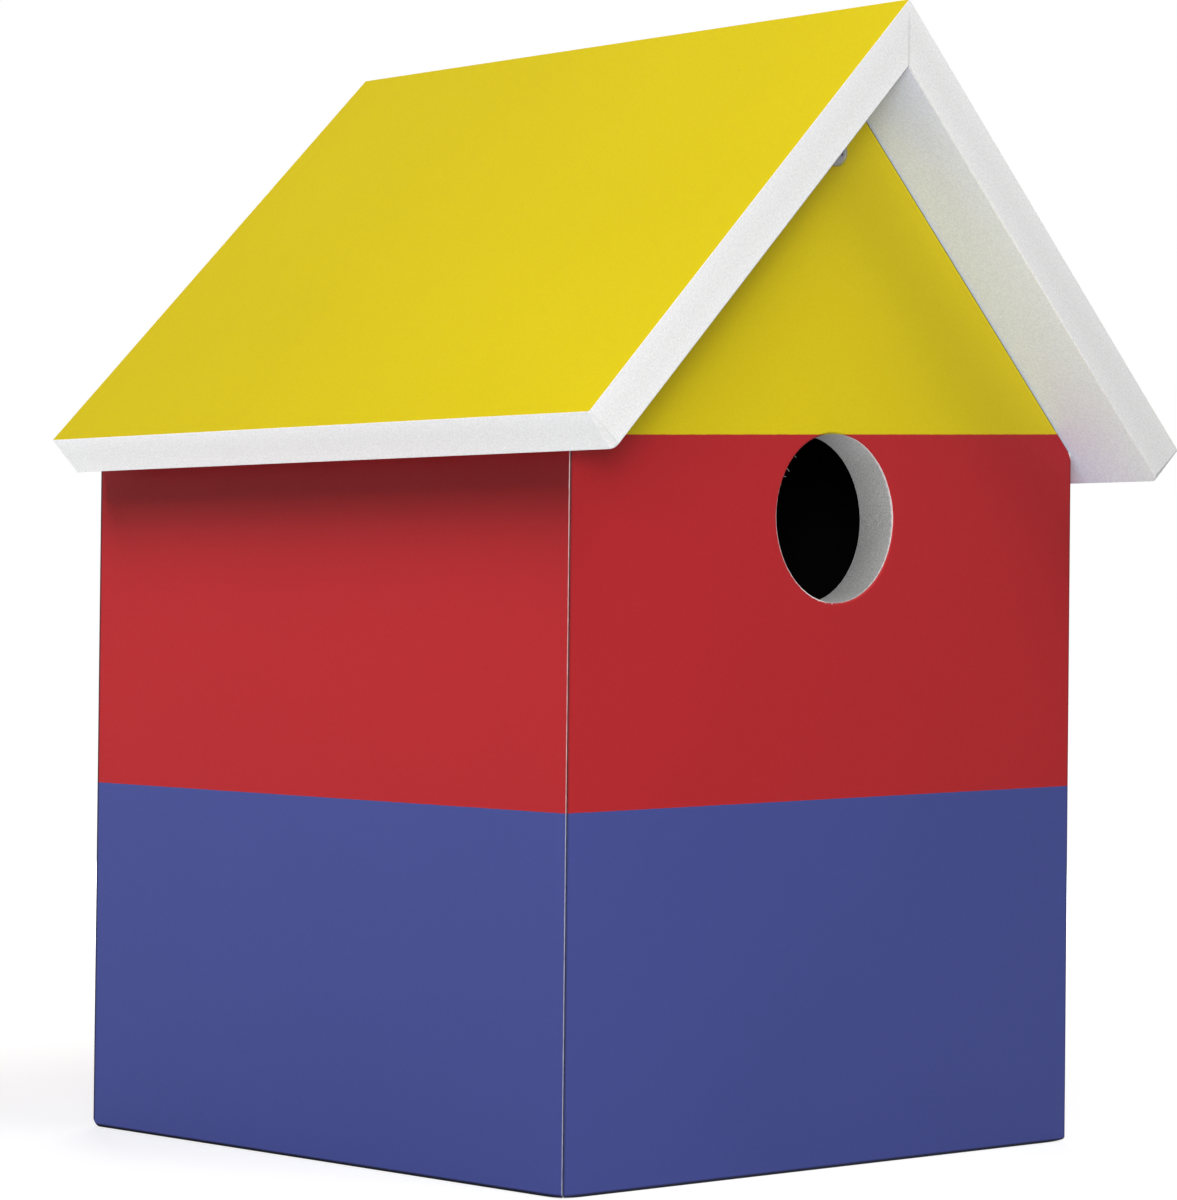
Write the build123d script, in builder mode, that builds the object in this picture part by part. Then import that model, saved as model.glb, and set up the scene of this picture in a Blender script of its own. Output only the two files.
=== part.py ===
from build123d import *
import os
from math import asin, cos, radians, sin, sqrt, tan

# A gabled nest box of mitred boards. The front comes off for cleaning: one screw under the ridge holds its
# top and two dowels locate its foot. Millimetres, +Z up, the front faces -Y, and the origin is on the
# ground under the middle of the outer box.

# Driving dimensions of the house
board = 9.0  # thickness of every wall, floor and roof board
house_width = 138.0  # outside, across the two side walls
house_depth = 140.0  # outside, front face to back face
wall_height = 138.0  # ground to the shoulder, where wall and roof meet
roof_pitch = 45.0  # slope of each roof board, in degrees
front_overhang = 17.5  # roof past the front face; at the back it is flush
eave_reach = 8.0  # roof past the shoulder, measured down its underside
floor_lift = 6.0  # underside of the floor above the ground

# Edges and seams
roof_corner_crisp = 0.4  # of the roof's front corners, at the painted face
roof_corner_soft = 1.5  # and at the underside
roof_arris = 0.3  # of the roof's lower edges, at its front end and along its eaves
rim_round = 0.5  # of the entrance's two rims
foot_round = 0.8  # along the foot of each wall, outside
seam_flat = 0.2  # blunt tip left on each mitred edge
shoulder_round = 6.0  # rounding of the front's two shoulders
seam_gap = 0.15  # between the loose front and the side walls, square to the mitre
rake_gap = 0.4  # between the loose front and the roof above it, square to the slope
floor_gap = 0.4  # between the loose front and the floor's front edge

# Entrance, drain holes and the keyhole that the box hangs by
entrance_diameter = 32.0
entrance_drop = 15.0  # centre of the entrance below the shoulder
drain_diameter = 6.0
drain_inset = 18.0  # centre of each drain hole in from the floor's edges
keyhole_entry = 9.0  # diameter that passes a wall screw's head
keyhole_slot = 4.5  # width that its neck hangs in
keyhole_travel = 11.0  # centre of the entry to the centre of the slot's round top
keyhole_drop = 12.0  # centre of the slot's round top below the batten

# Ridge batten, a square strip on edge in the angle of the ridge
batten_side = 20.0

# Dowels between the floor and the walls
dowel_diameter = 5.0
dowel_length = 18.0
dowel_chamfer = 0.6
dowel_spacing = 70.0  # between the two dowels of one edge
dowel_skin = 2.5  # board left over the end of a blind hole
dowel_end_gap = 0.5
dowel_fit = 0.05  # radial clearance

# Splines in the two glued mitres at the back
spline_thickness = 3.0
spline_width = 7.0
spline_inset = 4.5  # middle of the groove from the inside corner, along the mitre
spline_margin = 12.0  # stopped short of the ground and of the shoulder
spline_fit = 0.05  # clearance on each side

# Screws into the two ends of the batten
screw_diameter = 3.0
screw_length = 30.0  # under a pan head, overall with a countersunk one
screw_tip = 4.0
screw_play = 0.2  # radial, where it passes a board
screw_aside = 1.5  # the front screw to the left of the batten's middle
screw_below = 0.4  # and below it
thread_fit = 0.06  # radial, in the batten
pilot_end_gap = 1.0
pan_diameter = 5.6
pan_rim = 0.7
pan_height = 2.2
countersunk_diameter = 6.0
countersink_play = 0.1
recess_span = 3.0  # cross recess, tip to tip
recess_width = 0.8
recess_depth = 1.0

# Places that follow from the sizes
half_width = house_width / 2
back_y = (house_depth + front_overhang) / 2
front_y = back_y - house_depth
roof_front_y = front_y - front_overhang
middle_y = (front_y + back_y) / 2
inner_x = half_width - board
inner_front_y = front_y + board
inner_back_y = back_y - board
inner_depth = inner_back_y - inner_front_y
pitch = radians(roof_pitch)
apex_z = wall_height + half_width * tan(pitch)
ridge_z = apex_z + board / cos(pitch)
roof_depth = back_y - roof_front_y
eave_foot = (-half_width - eave_reach * cos(pitch), wall_height - eave_reach * sin(pitch))
eave_top = (eave_foot[0] - board * sin(pitch), eave_foot[1] + board * cos(pitch))
batten_reach = batten_side * cos(pitch)
batten_rise = batten_side * sin(pitch)
screw_z = apex_z - batten_rise
front_screw_place = (-screw_aside, screw_z - screw_below)
entrance_z = wall_height - entrance_drop
keyhole_z = apex_z - 2 * batten_rise - keyhole_drop - keyhole_travel
dowel_z = floor_lift + board / 2
dowel_bite = board - dowel_skin - dowel_end_gap
dowel_hole_radius = dowel_diameter / 2 + dowel_fit
wall_hole_depth = dowel_bite + dowel_end_gap
floor_hole_depth = dowel_length - dowel_bite + dowel_end_gap
screw_hole_radius = screw_diameter / 2 + screw_play
pilot_radius = screw_diameter / 2 + thread_fit
pilot_depth = screw_length - board + pilot_end_gap
spline_length = wall_height - 2 * spline_margin
tip_cut = seam_flat * sqrt(2)  # taken off each outside face by the blunt tip of its mitre
slip = seam_gap * sqrt(2)  # the loose front's mitres stand this far in, along X


def upright(x, y, facing):
    """Upright plane through (x, y) that faces the given way, with its own Y upwards."""
    return Plane(origin=(x, y, 0), x_dir=(-facing[1], facing[0], 0), z_dir=facing)


FRONT, BACK, LEFT, RIGHT = (0, -1, 0), (0, 1, 0), (-1, 0, 0), (1, 0, 0)
front_face = upright(0, front_y, FRONT)
back_face = upright(0, back_y, BACK)
batten_front = upright(0, inner_front_y, FRONT)
batten_back = upright(0, inner_back_y, BACK)
front_inside = upright(0, inner_front_y, BACK)
back_inside = upright(0, inner_back_y, FRONT)
left_inside = upright(-inner_x, middle_y, RIGHT)
right_inside = upright(inner_x, middle_y, LEFT)
roof_end = upright(0, roof_front_y, FRONT)
slope, outward = (cos(pitch), 0, sin(pitch)), (-sin(pitch), 0, cos(pitch))
roof_seat = Plane(origin=(-half_width, middle_y, wall_height), x_dir=slope, z_dir=outward)
eave_corner = Plane(origin=(eave_foot[0], roof_front_y, eave_foot[1]), x_dir=slope, z_dir=outward)
floor_edges = (
    batten_front,
    batten_back,
    upright(-inner_x, middle_y, LEFT),
    upright(inner_x, middle_y, RIGHT),
)
dowel_places = [(side * dowel_spacing / 2, dowel_z) for side in (-1, 1)]


def gable_plan(outer_y, inward, slack):
    """Plan of a gable board with mitred, blunt ends, its inner face on the inward side of outer_y."""
    inner_y = outer_y + inward * board
    with BuildSketch() as plan:
        with BuildLine():
            Polyline(
                (0, outer_y),
                (half_width - tip_cut, outer_y),
                (half_width - (tip_cut + slack) / 2, outer_y + inward * (tip_cut - slack) / 2),
                (inner_x - slack, inner_y),
                (0, inner_y),
            )
            mirror(about=Plane.YZ)
        make_face()
    return plan.sketch


def gable_outline(gap):
    """Outline of a gable board whose slopes stay gap clear of the roof."""
    drop = gap / cos(pitch)
    with BuildSketch(front_face) as outline:
        with BuildLine():
            Polyline((0, apex_z - drop), (half_width, wall_height - drop), (half_width, 0), (0, 0))
            mirror(about=Plane.YZ)
        make_face()
    return outline


def rounded_shoulders(outline):
    """The outline of a gable board with its two shoulders rounded."""
    with BuildSketch(front_face) as rounded:
        add(outline.sketch_local)
        fillet(rounded.vertices().group_by(Axis.Y)[1], radius=shoulder_round)
    return rounded


def drill_dowel_holes(face, depth):
    """Two blind dowel holes, drilled from face into the board behind it."""
    with Locations(face):
        with Locations(*dowel_places):
            Hole(radius=dowel_hole_radius, depth=depth)


def dowel_pair(wall_face):
    """Two dowels that bite into the wall behind wall_face and stand out of it, into the floor."""
    with BuildPart() as pair:
        with Locations(wall_face.offset(-dowel_bite)):
            with Locations(*dowel_places):
                Cylinder(dowel_diameter / 2, dowel_length, align=(Align.CENTER, Align.CENTER, Align.MIN))
        chamfer(pair.edges().filter_by(GeomType.CIRCLE), length=dowel_chamfer)
    return pair


def spline_strip(side, clearance, mode):
    """Strip across the rear mitre of one side, with the clearance of its groove all round."""
    along = spline_inset / sqrt(2)
    place = Location((side * (inner_x + along), inner_back_y + along, wall_height / 2), (0, 0, -side * 45))
    with Locations(place):
        Box(
            spline_width + 2 * clearance,
            spline_thickness + 2 * clearance,
            spline_length + 2 * clearance,
            mode=mode,
        )


def cut_cross_recess(head_top):
    """Cross recess, sunk into a screw's head from its top."""
    with Locations(head_top):
        for turn in (0, 90):
            Box(recess_span, recess_width, 2 * recess_depth, rotation=(0, 0, turn), mode=Mode.SUBTRACT)


# Front board, loose: entrance, screw hole at the top and two dowel sockets at the foot
with BuildPart() as front_panel:
    extrude(gable_plan(front_y, 1, slip), amount=apex_z)
    extrude(rounded_shoulders(gable_outline(rake_gap)).sketch, amount=-board, mode=Mode.INTERSECT)
    with Locations(front_face):
        with Locations((0, entrance_z)):
            Hole(radius=entrance_diameter / 2)
    fillet(front_panel.edges(Select.LAST).filter_by(GeomType.CIRCLE), radius=rim_round)
    fillet(front_panel.edges().filter_by(Axis.X).group_by(Axis.Z)[0].sort_by(Axis.Y)[0], radius=foot_round)
    with Locations(front_face):
        with Locations(front_screw_place):
            Hole(radius=screw_hole_radius)
    drill_dowel_holes(front_inside, wall_hole_depth)

# Back board, glued: keyhole to hang by, countersunk hole for the screw into the batten
with BuildPart() as back_panel:
    extrude(gable_plan(back_y, -1, 0), amount=apex_z)
    extrude(gable_outline(0).sketch, amount=-house_depth, mode=Mode.INTERSECT)
    fillet(back_panel.edges().filter_by(Axis.X).group_by(Axis.Z)[0].sort_by(Axis.Y)[-1], radius=foot_round)
    with Locations(back_face):
        with Locations((0, screw_z)):
            CounterSinkHole(
                radius=screw_hole_radius,
                counter_sink_radius=countersunk_diameter / 2 + countersink_play,
                counter_sink_angle=90,
            )
    with BuildSketch(back_face):
        with Locations((0, keyhole_z)):
            Circle(keyhole_entry / 2)
        with Locations((0, keyhole_z + keyhole_travel / 2)):
            SlotCenterToCenter(keyhole_travel, keyhole_slot, rotation=90)
    extrude(amount=-board, mode=Mode.SUBTRACT)
    drill_dowel_holes(back_inside, wall_hole_depth)
    for side in (-1, 1):
        spline_strip(side, spline_fit, Mode.SUBTRACT)

# Side walls: mitred at both ends, bevelled on top to carry the roof
with BuildPart() as left_wall:
    with BuildSketch():
        with BuildLine():
            Polyline(
                (-half_width, front_y + tip_cut),
                (-half_width + tip_cut / 2, front_y + tip_cut / 2),
                (-inner_x, inner_front_y),
                (-inner_x, inner_back_y),
                (-half_width + tip_cut / 2, back_y - tip_cut / 2),
                (-half_width, back_y - tip_cut),
                close=True,
            )
        make_face()
    extrude(amount=apex_z)
    split(bisect_by=roof_seat, keep=Keep.BOTTOM)
    fillet(left_wall.edges().filter_by(Axis.Y).group_by(Axis.Z)[0].sort_by(Axis.X)[0], radius=foot_round)
    drill_dowel_holes(left_inside, wall_hole_depth)
    spline_strip(-1, spline_fit, Mode.SUBTRACT)
with BuildPart() as right_wall:
    mirror(left_wall.part, about=Plane.YZ)

# Floor, let in between the walls: dowel holes in its four edges, drain holes near its corners
with BuildPart() as floor_panel:
    with Locations((0, inner_back_y, floor_lift)):
        Box(2 * inner_x, inner_depth - floor_gap, board, align=(Align.CENTER, Align.MAX, Align.MIN))
    for edge in floor_edges:
        drill_dowel_holes(edge, floor_hole_depth)
    with Locations((0, middle_y, floor_lift)):
        with GridLocations(2 * (inner_x - drain_inset), inner_depth - 2 * drain_inset, 2, 2):
            Hole(radius=drain_diameter / 2)

# Roof boards: mitred together at the ridge and cut square at the eaves, with the front corner crisp at the
# painted face and softer towards the underside
with BuildPart() as left_roof_board:
    with BuildSketch(roof_end):
        with BuildLine():
            Polyline((0, apex_z), (0, ridge_z), eave_top, eave_foot, close=True)
        make_face()
    extrude(amount=-roof_depth)
    for height, corner in ((0, roof_corner_soft), (board, roof_corner_crisp)):
        with BuildSketch(eave_corner.offset(height)):
            with BuildLine():
                Polyline((0, corner), (0, 0), (corner, 0))
                RadiusArc((0, corner), (corner, 0), -corner)
            make_face()
    loft(ruled=True, mode=Mode.SUBTRACT)
    lower_face = left_roof_board.faces().sort_by(Axis(eave_corner.origin, eave_corner.z_dir))[0]
    loose_edges = lower_face.edges().filter_by(lambda edge: edge.center().X < -board)
    fillet(loose_edges.filter_by(lambda edge: edge.center().Y < back_y - board), radius=roof_arris)
with BuildPart() as right_roof_board:
    mirror(left_roof_board.part, about=Plane.YZ)

# Ridge batten, with a pilot hole in each end
with BuildPart() as ridge_batten:
    with BuildSketch(batten_front):
        with BuildLine():
            Polyline((0, apex_z), (batten_reach, screw_z), (0, screw_z - batten_rise))
            mirror(about=Plane.YZ)
        make_face()
    extrude(amount=-inner_depth)
    for end, place in ((batten_front, front_screw_place), (batten_back, (0, screw_z))):
        with Locations(end):
            with Locations(place):
                Hole(radius=pilot_radius, depth=pilot_depth)

# Front screw, with a domed pan head on the face of the front board
with BuildPart() as front_screw:
    pan_radius = pan_diameter / 2
    dome_height = pan_height - pan_rim
    dome_radius = (pan_radius**2 + dome_height**2) / (2 * dome_height)
    half_turn = asin(pan_radius / dome_radius) / 2
    dome_middle = (dome_radius * (1 - cos(half_turn)) - pan_height, dome_radius * sin(half_turn))
    screw_x, seat_z = front_screw_place
    with BuildSketch(Plane(origin=(screw_x, front_y, seat_z), x_dir=BACK, z_dir=RIGHT)):
        with BuildLine():
            Polyline(
                (-pan_height, 0),
                (screw_length, 0),
                (screw_length - screw_tip, screw_diameter / 2),
                (0, screw_diameter / 2),
                (0, pan_radius),
                (-pan_rim, pan_radius),
            )
            ThreePointArc((-pan_rim, pan_radius), dome_middle, (-pan_height, 0))
        make_face()
    revolve(axis=Axis((screw_x, front_y, seat_z), BACK))
    cut_cross_recess(Plane(origin=(screw_x, front_y - pan_height, seat_z), x_dir=RIGHT, z_dir=FRONT))

# Rear screw, flush in the back board
with BuildPart() as rear_screw:
    sink = (countersunk_diameter - screw_diameter) / 2
    with BuildSketch(Plane(origin=(0, back_y, screw_z), x_dir=FRONT, z_dir=LEFT)):
        with BuildLine():
            Polyline(
                (0, 0),
                (0, countersunk_diameter / 2),
                (sink, screw_diameter / 2),
                (screw_length - screw_tip, screw_diameter / 2),
                (screw_length, 0),
                close=True,
            )
        make_face()
    revolve(axis=Axis((0, back_y, screw_z), BACK))
    cut_cross_recess(Plane(origin=(0, back_y, screw_z), x_dir=LEFT, z_dir=BACK))

# Dowels, two in each edge of the floor, and the splines of the rear mitres
front_dowels = dowel_pair(front_inside)
rear_floor_dowels = dowel_pair(back_inside)
left_floor_dowels = dowel_pair(left_inside)
right_floor_dowels = dowel_pair(right_inside)
with BuildPart() as left_rear_spline:
    spline_strip(-1, 0, Mode.ADD)
with BuildPart() as right_rear_spline:
    spline_strip(1, 0, Mode.ADD)

pieces = {
    "front_panel": front_panel,
    "back_panel": back_panel,
    "left_wall": left_wall,
    "right_wall": right_wall,
    "floor_panel": floor_panel,
    "left_roof_board": left_roof_board,
    "right_roof_board": right_roof_board,
    "ridge_batten": ridge_batten,
    "front_screw": front_screw,
    "rear_screw": rear_screw,
    "front_dowels": front_dowels,
    "rear_floor_dowels": rear_floor_dowels,
    "left_floor_dowels": left_floor_dowels,
    "right_floor_dowels": right_floor_dowels,
    "left_rear_spline": left_rear_spline,
    "right_rear_spline": right_rear_spline,
}
os.makedirs("parts", exist_ok=True)
for name, piece in pieces.items():
    piece.part.label = name
    export_step(piece.part, f"parts/{name}.step")
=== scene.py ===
"""Looks of a gabled nest box: painted fibreboard with white sealed edges, on a pale floor in soft light."""

import logging
import math
from dataclasses import dataclass, field
from enum import Enum, auto
from functools import partial
from typing import Callable, Optional, Sequence, Union

import bmesh
import bpy
from mathutils import Matrix, Vector


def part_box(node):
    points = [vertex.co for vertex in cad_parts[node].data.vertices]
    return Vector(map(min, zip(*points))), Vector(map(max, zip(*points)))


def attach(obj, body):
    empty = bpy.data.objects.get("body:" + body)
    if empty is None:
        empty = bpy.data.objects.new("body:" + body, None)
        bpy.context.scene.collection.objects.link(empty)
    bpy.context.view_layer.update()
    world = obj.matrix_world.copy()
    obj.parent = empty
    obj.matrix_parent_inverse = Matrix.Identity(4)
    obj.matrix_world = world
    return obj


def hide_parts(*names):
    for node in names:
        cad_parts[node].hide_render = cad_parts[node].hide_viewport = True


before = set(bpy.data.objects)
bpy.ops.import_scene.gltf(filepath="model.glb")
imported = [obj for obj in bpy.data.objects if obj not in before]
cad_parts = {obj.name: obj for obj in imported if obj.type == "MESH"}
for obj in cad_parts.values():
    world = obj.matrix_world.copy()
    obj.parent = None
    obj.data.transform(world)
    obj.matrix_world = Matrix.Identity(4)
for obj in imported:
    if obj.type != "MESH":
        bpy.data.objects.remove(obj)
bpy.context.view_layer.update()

LOG = logging.getLogger("nest_box")
MM = 0.001
WELD = 0.001 * MM
FLAT = math.radians(0.5)

Socket = bpy.types.NodeSocket
Material = bpy.types.Material
Mesh = bpy.types.Mesh
Piece = bpy.types.Object
Shape = bmesh.types.BMesh
Colour = tuple[float, float, float, float]
Plane = tuple[Vector, Vector]


class Hue(Enum):
    """Colours of the house, as linear RGBA."""

    BLUE = (0.0560, 0.0735, 0.2860, 1.0)
    RED = (0.4600, 0.0160, 0.0210, 1.0)
    YELLOW = (0.7490, 0.5890, 0.0050, 1.0)
    WHITE = (0.9100, 0.9100, 0.9080, 1.0)
    # painted shade: greyer primer on the roof's rounded front corners, to damp their highlight
    ARRIS_WHITE = (0.8500, 0.8500, 0.8480, 1.0)
    # painted shade: the eave's primer, greyer at its front and paler at its back
    EAVE_GREY = (0.7950, 0.8150, 0.8150, 1.0)
    EAVE_PALE = (0.9100, 0.9400, 0.9400, 1.0)
    # painted light: cold tones of the roof's underside, graded to cancel coloured bounce and uneven light
    EAVE_WHITE = (0.8750, 1.0000, 1.0000, 1.0)
    RIDGE_WHITE = (0.7600, 0.7850, 0.9500, 1.0)
    GABLE_WHITE = (0.8000, 0.8650, 1.0000, 1.0)
    # painted shade: black of the room inside and of the roof's underside over it
    BLACK = (0.0025, 0.0025, 0.0025, 1.0)
    # painted shade: near-black of the dark lines along the feet and ends of the boards
    GRIME = (0.0060, 0.0055, 0.0080, 1.0)
    SPECK = (0.0500, 0.0400, 0.0400, 1.0)
    JOINT_GREY = (0.5000, 0.5000, 0.5000, 1.0)
    PRIMER_GREY = (0.4100, 0.4100, 0.4080, 1.0)
    FIBRE_GREY = (0.3600, 0.3500, 0.3350, 1.0)
    BOARD_DARK = (0.3600, 0.2500, 0.1500, 1.0)
    BOARD_PALE = (0.5200, 0.3900, 0.2500, 1.0)
    PINE_EARLY = (0.7400, 0.5600, 0.3400, 1.0)
    PINE_LATE = (0.5000, 0.2900, 0.1300, 1.0)
    BEECH_DARK = (0.5600, 0.3700, 0.2100, 1.0)
    BEECH_PALE = (0.6800, 0.4900, 0.3000, 1.0)
    BEECH_FLECK = (0.3300, 0.1800, 0.0900, 1.0)
    BIRCH_UP_DARK = (0.6600, 0.5000, 0.3200, 1.0)
    BIRCH_UP_PALE = (0.7600, 0.6200, 0.4300, 1.0)
    BIRCH_ACROSS_DARK = (0.4600, 0.3100, 0.1800, 1.0)
    BIRCH_ACROSS_PALE = (0.5800, 0.4200, 0.2600, 1.0)
    ZINC_DULL = (0.3600, 0.3700, 0.4200, 1.0)
    ZINC_BRIGHT = (0.5200, 0.5200, 0.5700, 1.0)


class Face(Enum):
    """Kinds of face on a board."""

    PAINT = auto()
    EDGE = auto()
    INSIDE = auto()
    BORE = auto()
    UNDER = auto()
    ARRIS = auto()
    EAVE = auto()


class Hand(Enum):
    """Left and right of the house, as the sign of X."""

    LEFT = -1
    RIGHT = 1

    @property
    def side(self) -> str:
        """The side as it stands in the names of pieces."""
        return self.name.lower()


Feed = Union[Socket, Material, Hue, float, Sequence[float]]
Feeds = dict[Union[str, int], Feed]


@dataclass(frozen=True)
class HouseSizes:
    """Main sizes of the house, in metres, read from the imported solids."""

    board: float
    half_width: float
    front_y: float
    back_y: float
    shoulder_z: float

    @classmethod
    def from_frame(cls) -> "HouseSizes":
        """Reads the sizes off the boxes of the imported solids.

        Returns:
            The sizes.
        """
        back_low, back_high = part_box("back_panel")
        wall_low, wall_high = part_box("left_wall")
        front_low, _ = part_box("front_panel")
        board = back_high.y - back_low.y
        return cls(
            board=board,
            half_width=-wall_low.x,
            front_y=front_low.y,
            back_y=back_high.y,
            shoulder_z=wall_high.z - board,
        )

    @property
    def inner_x(self) -> float:
        """Half the width of the room inside."""
        return self.half_width - self.board


class NodeSheet:
    """A node tree laid out in code."""

    def __init__(self, tree: bpy.types.NodeTree) -> None:
        """Takes up a tree."""
        self.tree = tree

    def node(self, kind: str, feeds: Optional[Feeds] = None, **settings: object) -> bpy.types.Node:
        """Adds a node.

        Args:
            kind: Blender's name of the node.
            feeds: What goes into its inputs, by their name or number.
            settings: Properties to set on it.

        Returns:
            The new node.
        """
        node = self.tree.nodes.new(kind)
        for key, value in settings.items():
            setattr(node, key, value)
        for key, value in (feeds or {}).items():
            self.feed(node.inputs[key], value)
        return node

    def feed(self, socket: Socket, value: Feed) -> None:
        """Links a socket to another one, or sets it to a constant.

        Args:
            socket: Input socket.
            value: Output socket, colour of the house, number, vector or material.
        """
        if isinstance(value, Socket):
            self.tree.links.new(value, socket)
        else:
            socket.default_value = value.value if isinstance(value, Hue) else value

    def maths(self, operation: str, *values: Feed) -> Socket:
        """One step of arithmetic, on one to three values."""
        return self.node("ShaderNodeMath", dict(enumerate(values)), operation=operation).outputs[0]

    def split(self, place: Socket) -> bpy.types.NodeOutputs:
        """A place as three separate numbers."""
        return self.node("ShaderNodeSeparateXYZ", {0: place}).outputs

    def span(self, value: Feed, low: Feed, high: Feed, to_low: Feed = 0.0, to_high: Feed = 1.0) -> Socket:
        """Maps one range of a value onto another one, clamped at both ends."""
        feeds = dict(enumerate((value, low, high, to_low, to_high)))
        return self.node("ShaderNodeMapRange", feeds).outputs[0]


class Bench(NodeSheet):
    """Lays out the nodes of one material, with the small steps that the finishes share."""

    def __init__(self, name: str) -> None:
        """Starts a material with an empty principled shader.

        Args:
            name: Name of the material.
        """
        self.material = bpy.data.materials.new(name)
        self.material.use_nodes = True
        super().__init__(self.material.node_tree)
        self.tree.nodes.clear()
        self.shader = self.node("ShaderNodeBsdfPrincipled")
        self.output = self.node("ShaderNodeOutputMaterial", {"Surface": self.shader.outputs["BSDF"]})
        self.place = self.node("ShaderNodeTexCoord").outputs["Object"]

    def set(self, **values: Feed) -> None:
        """Feeds sockets of the shader.

        Args:
            values: What to feed, by the socket's name in lower case with underscores.
        """
        for key, value in values.items():
            label = "Specular IOR Level" if key == "specular_level" else key.replace("_", " ").title()
            self.feed(self.shader.inputs[label], value)

    def axes(self) -> bpy.types.NodeOutputs:
        """Object coordinates as three separate numbers."""
        return self.split(self.place)

    def stretched(self, scale: Sequence[float]) -> Socket:
        """Object coordinates scaled along each axis."""
        return self.node("ShaderNodeMapping", {"Vector": self.place, "Scale": scale}).outputs["Vector"]

    def depth_along(self, direction: Sequence[float]) -> Socket:
        """How far a point lies along a direction from the origin."""
        feeds = {0: self.place, 1: direction}
        return self.node("ShaderNodeVectorMath", feeds, operation="DOT_PRODUCT").outputs["Value"]

    def noise(self, size: float, detail: float = 2.0, place: Optional[Socket] = None) -> Socket:
        """Noise from 0 to 1 with lumps of a size in metres, by default in the object's coordinates."""
        feeds = {"Vector": place or self.place, "Scale": 1.0 / size, "Detail": detail}
        return self.node("ShaderNodeTexNoise", feeds).outputs["Fac"]

    def blend(self, share: Feed, first: Feed, second: Feed, kind: str = "MIX") -> Socket:
        """Two colours blended in Blender's named way, by the share of the second one."""
        feeds = {0: share, 6: first, 7: second}
        return self.node("ShaderNodeMix", feeds, data_type="RGBA", blend_type=kind).outputs[2]

    def tinted(self, colour: Feed, value: Socket, low: float, high: float) -> Socket:
        """A colour made lighter and darker by a pattern.

        Args:
            colour: The colour.
            value: Pattern from 0 to 1.
            low: Brightness where the pattern is 0.
            high: Brightness where it is 1.

        Returns:
            The varied colour.
        """
        level = self.span(value, 0.0, 1.0, low, high)
        grey = self.node("ShaderNodeCombineColor", {0: level, 1: level, 2: level}).outputs[0]
        return self.blend(1.0, colour, grey, "MULTIPLY")

    def bump(self, height: Socket, depth: float) -> Socket:
        """Normal bumped by a height pattern, whose 1 stands for a depth in metres."""
        return self.node("ShaderNodeBump", {"Distance": depth, "Height": height}).outputs["Normal"]

    def coat(
        self,
        colour: Feed,
        grain: Socket,
        rough: tuple[float, float],
        depth: float,
        gloss: float,
        spread: tuple[float, float] = (0.3, 0.7),
    ) -> None:
        """Puts a colour on the shader, with roughness and bump that follow one grain.

        Args:
            colour: The colour.
            grain: Pattern from 0 to 1.
            rough: Roughness at the start and the end of the grain's spread.
            depth: Depth of the grain, in metres.
            gloss: Specular level.
            spread: Values between which most of the grain lies.
        """
        self.set(
            base_color=colour,
            roughness=self.span(grain, *spread, *rough),
            specular_level=gloss,
            normal=self.bump(grain, depth),
        )


class Finish:
    """A finish of the house, which lays out one material."""

    name: str

    def make(self) -> Material:
        """Builds the material.

        Returns:
            The material.
        """
        bench = Bench(self.name)
        self.dress(bench)
        return bench.material

    def dress(self, bench: Bench) -> None:
        """Lays out the material on its bench."""
        raise NotImplementedError


@dataclass(frozen=True)
class PaintFilm:
    """Satin paint film: a fine orange peel, faint clouding and a few dark specks."""

    peel_size: float = 0.7 * MM
    peel_depth: float = 0.006 * MM
    cloud_size: float = 40.0 * MM
    speck_spacing: float = 9.0 * MM
    speck_radius: float = 0.12 * MM
    speck_share: float = 0.5
    roughness: float = 0.5
    roughness_swing: float = 0.06
    gloss: float = 0.24

    def spread(self, bench: Bench, colour: Feed) -> None:
        """Puts the film on a material.

        Args:
            bench: The material's bench.
            colour: Colour of the paint.
        """
        peel = bench.noise(self.peel_size, 2.0)
        colour = bench.tinted(colour, bench.noise(self.peel_size / 3.0, 1.0), 0.93, 1.07)
        colour = bench.tinted(colour, bench.noise(self.cloud_size, 3.0), 0.97, 1.03)
        colour = bench.blend(self.specks(bench), colour, Hue.SPECK)
        rough = (self.roughness - self.roughness_swing, self.roughness + self.roughness_swing)
        bench.coat(colour, peel, rough, self.peel_depth, self.gloss)

    def specks(self, bench: Bench) -> Socket:
        """Mask of a few tiny specks.

        Args:
            bench: The material's bench.

        Returns:
            The specks' share of the colour in a speck, and 0 elsewhere.
        """
        feeds = {"Vector": bench.place, "Scale": 1.0 / self.speck_spacing}
        away = bench.node("ShaderNodeTexVoronoi", feeds).outputs["Distance"]
        near = bench.maths("LESS_THAN", away, self.speck_radius / self.speck_spacing)
        return bench.maths("MULTIPLY", near, self.speck_share)


@dataclass(frozen=True)
class PaintLine:
    """A masked line between two bands of paint, a little out of level along one axis of the house."""

    axis: int
    start: float
    end: float
    start_z: float
    end_z: float
    ragged: float = 0.12 * MM
    ragged_size: float = 1.5 * MM

    def above(self, bench: Bench) -> Socket:
        """Mask that is 1 above the line and 0 below it.

        Args:
            bench: The material's bench.

        Returns:
            The mask.
        """
        axes = bench.axes()
        rise = (self.end_z - self.start_z) / (self.end - self.start)
        creep = bench.maths("MULTIPLY_ADD", bench.noise(self.ragged_size, 1.0), self.ragged, axes[2])
        level = bench.maths("MULTIPLY_ADD", axes[self.axis], -rise, creep)
        return bench.maths("GREATER_THAN", level, self.start_z - rise * self.start)


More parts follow.
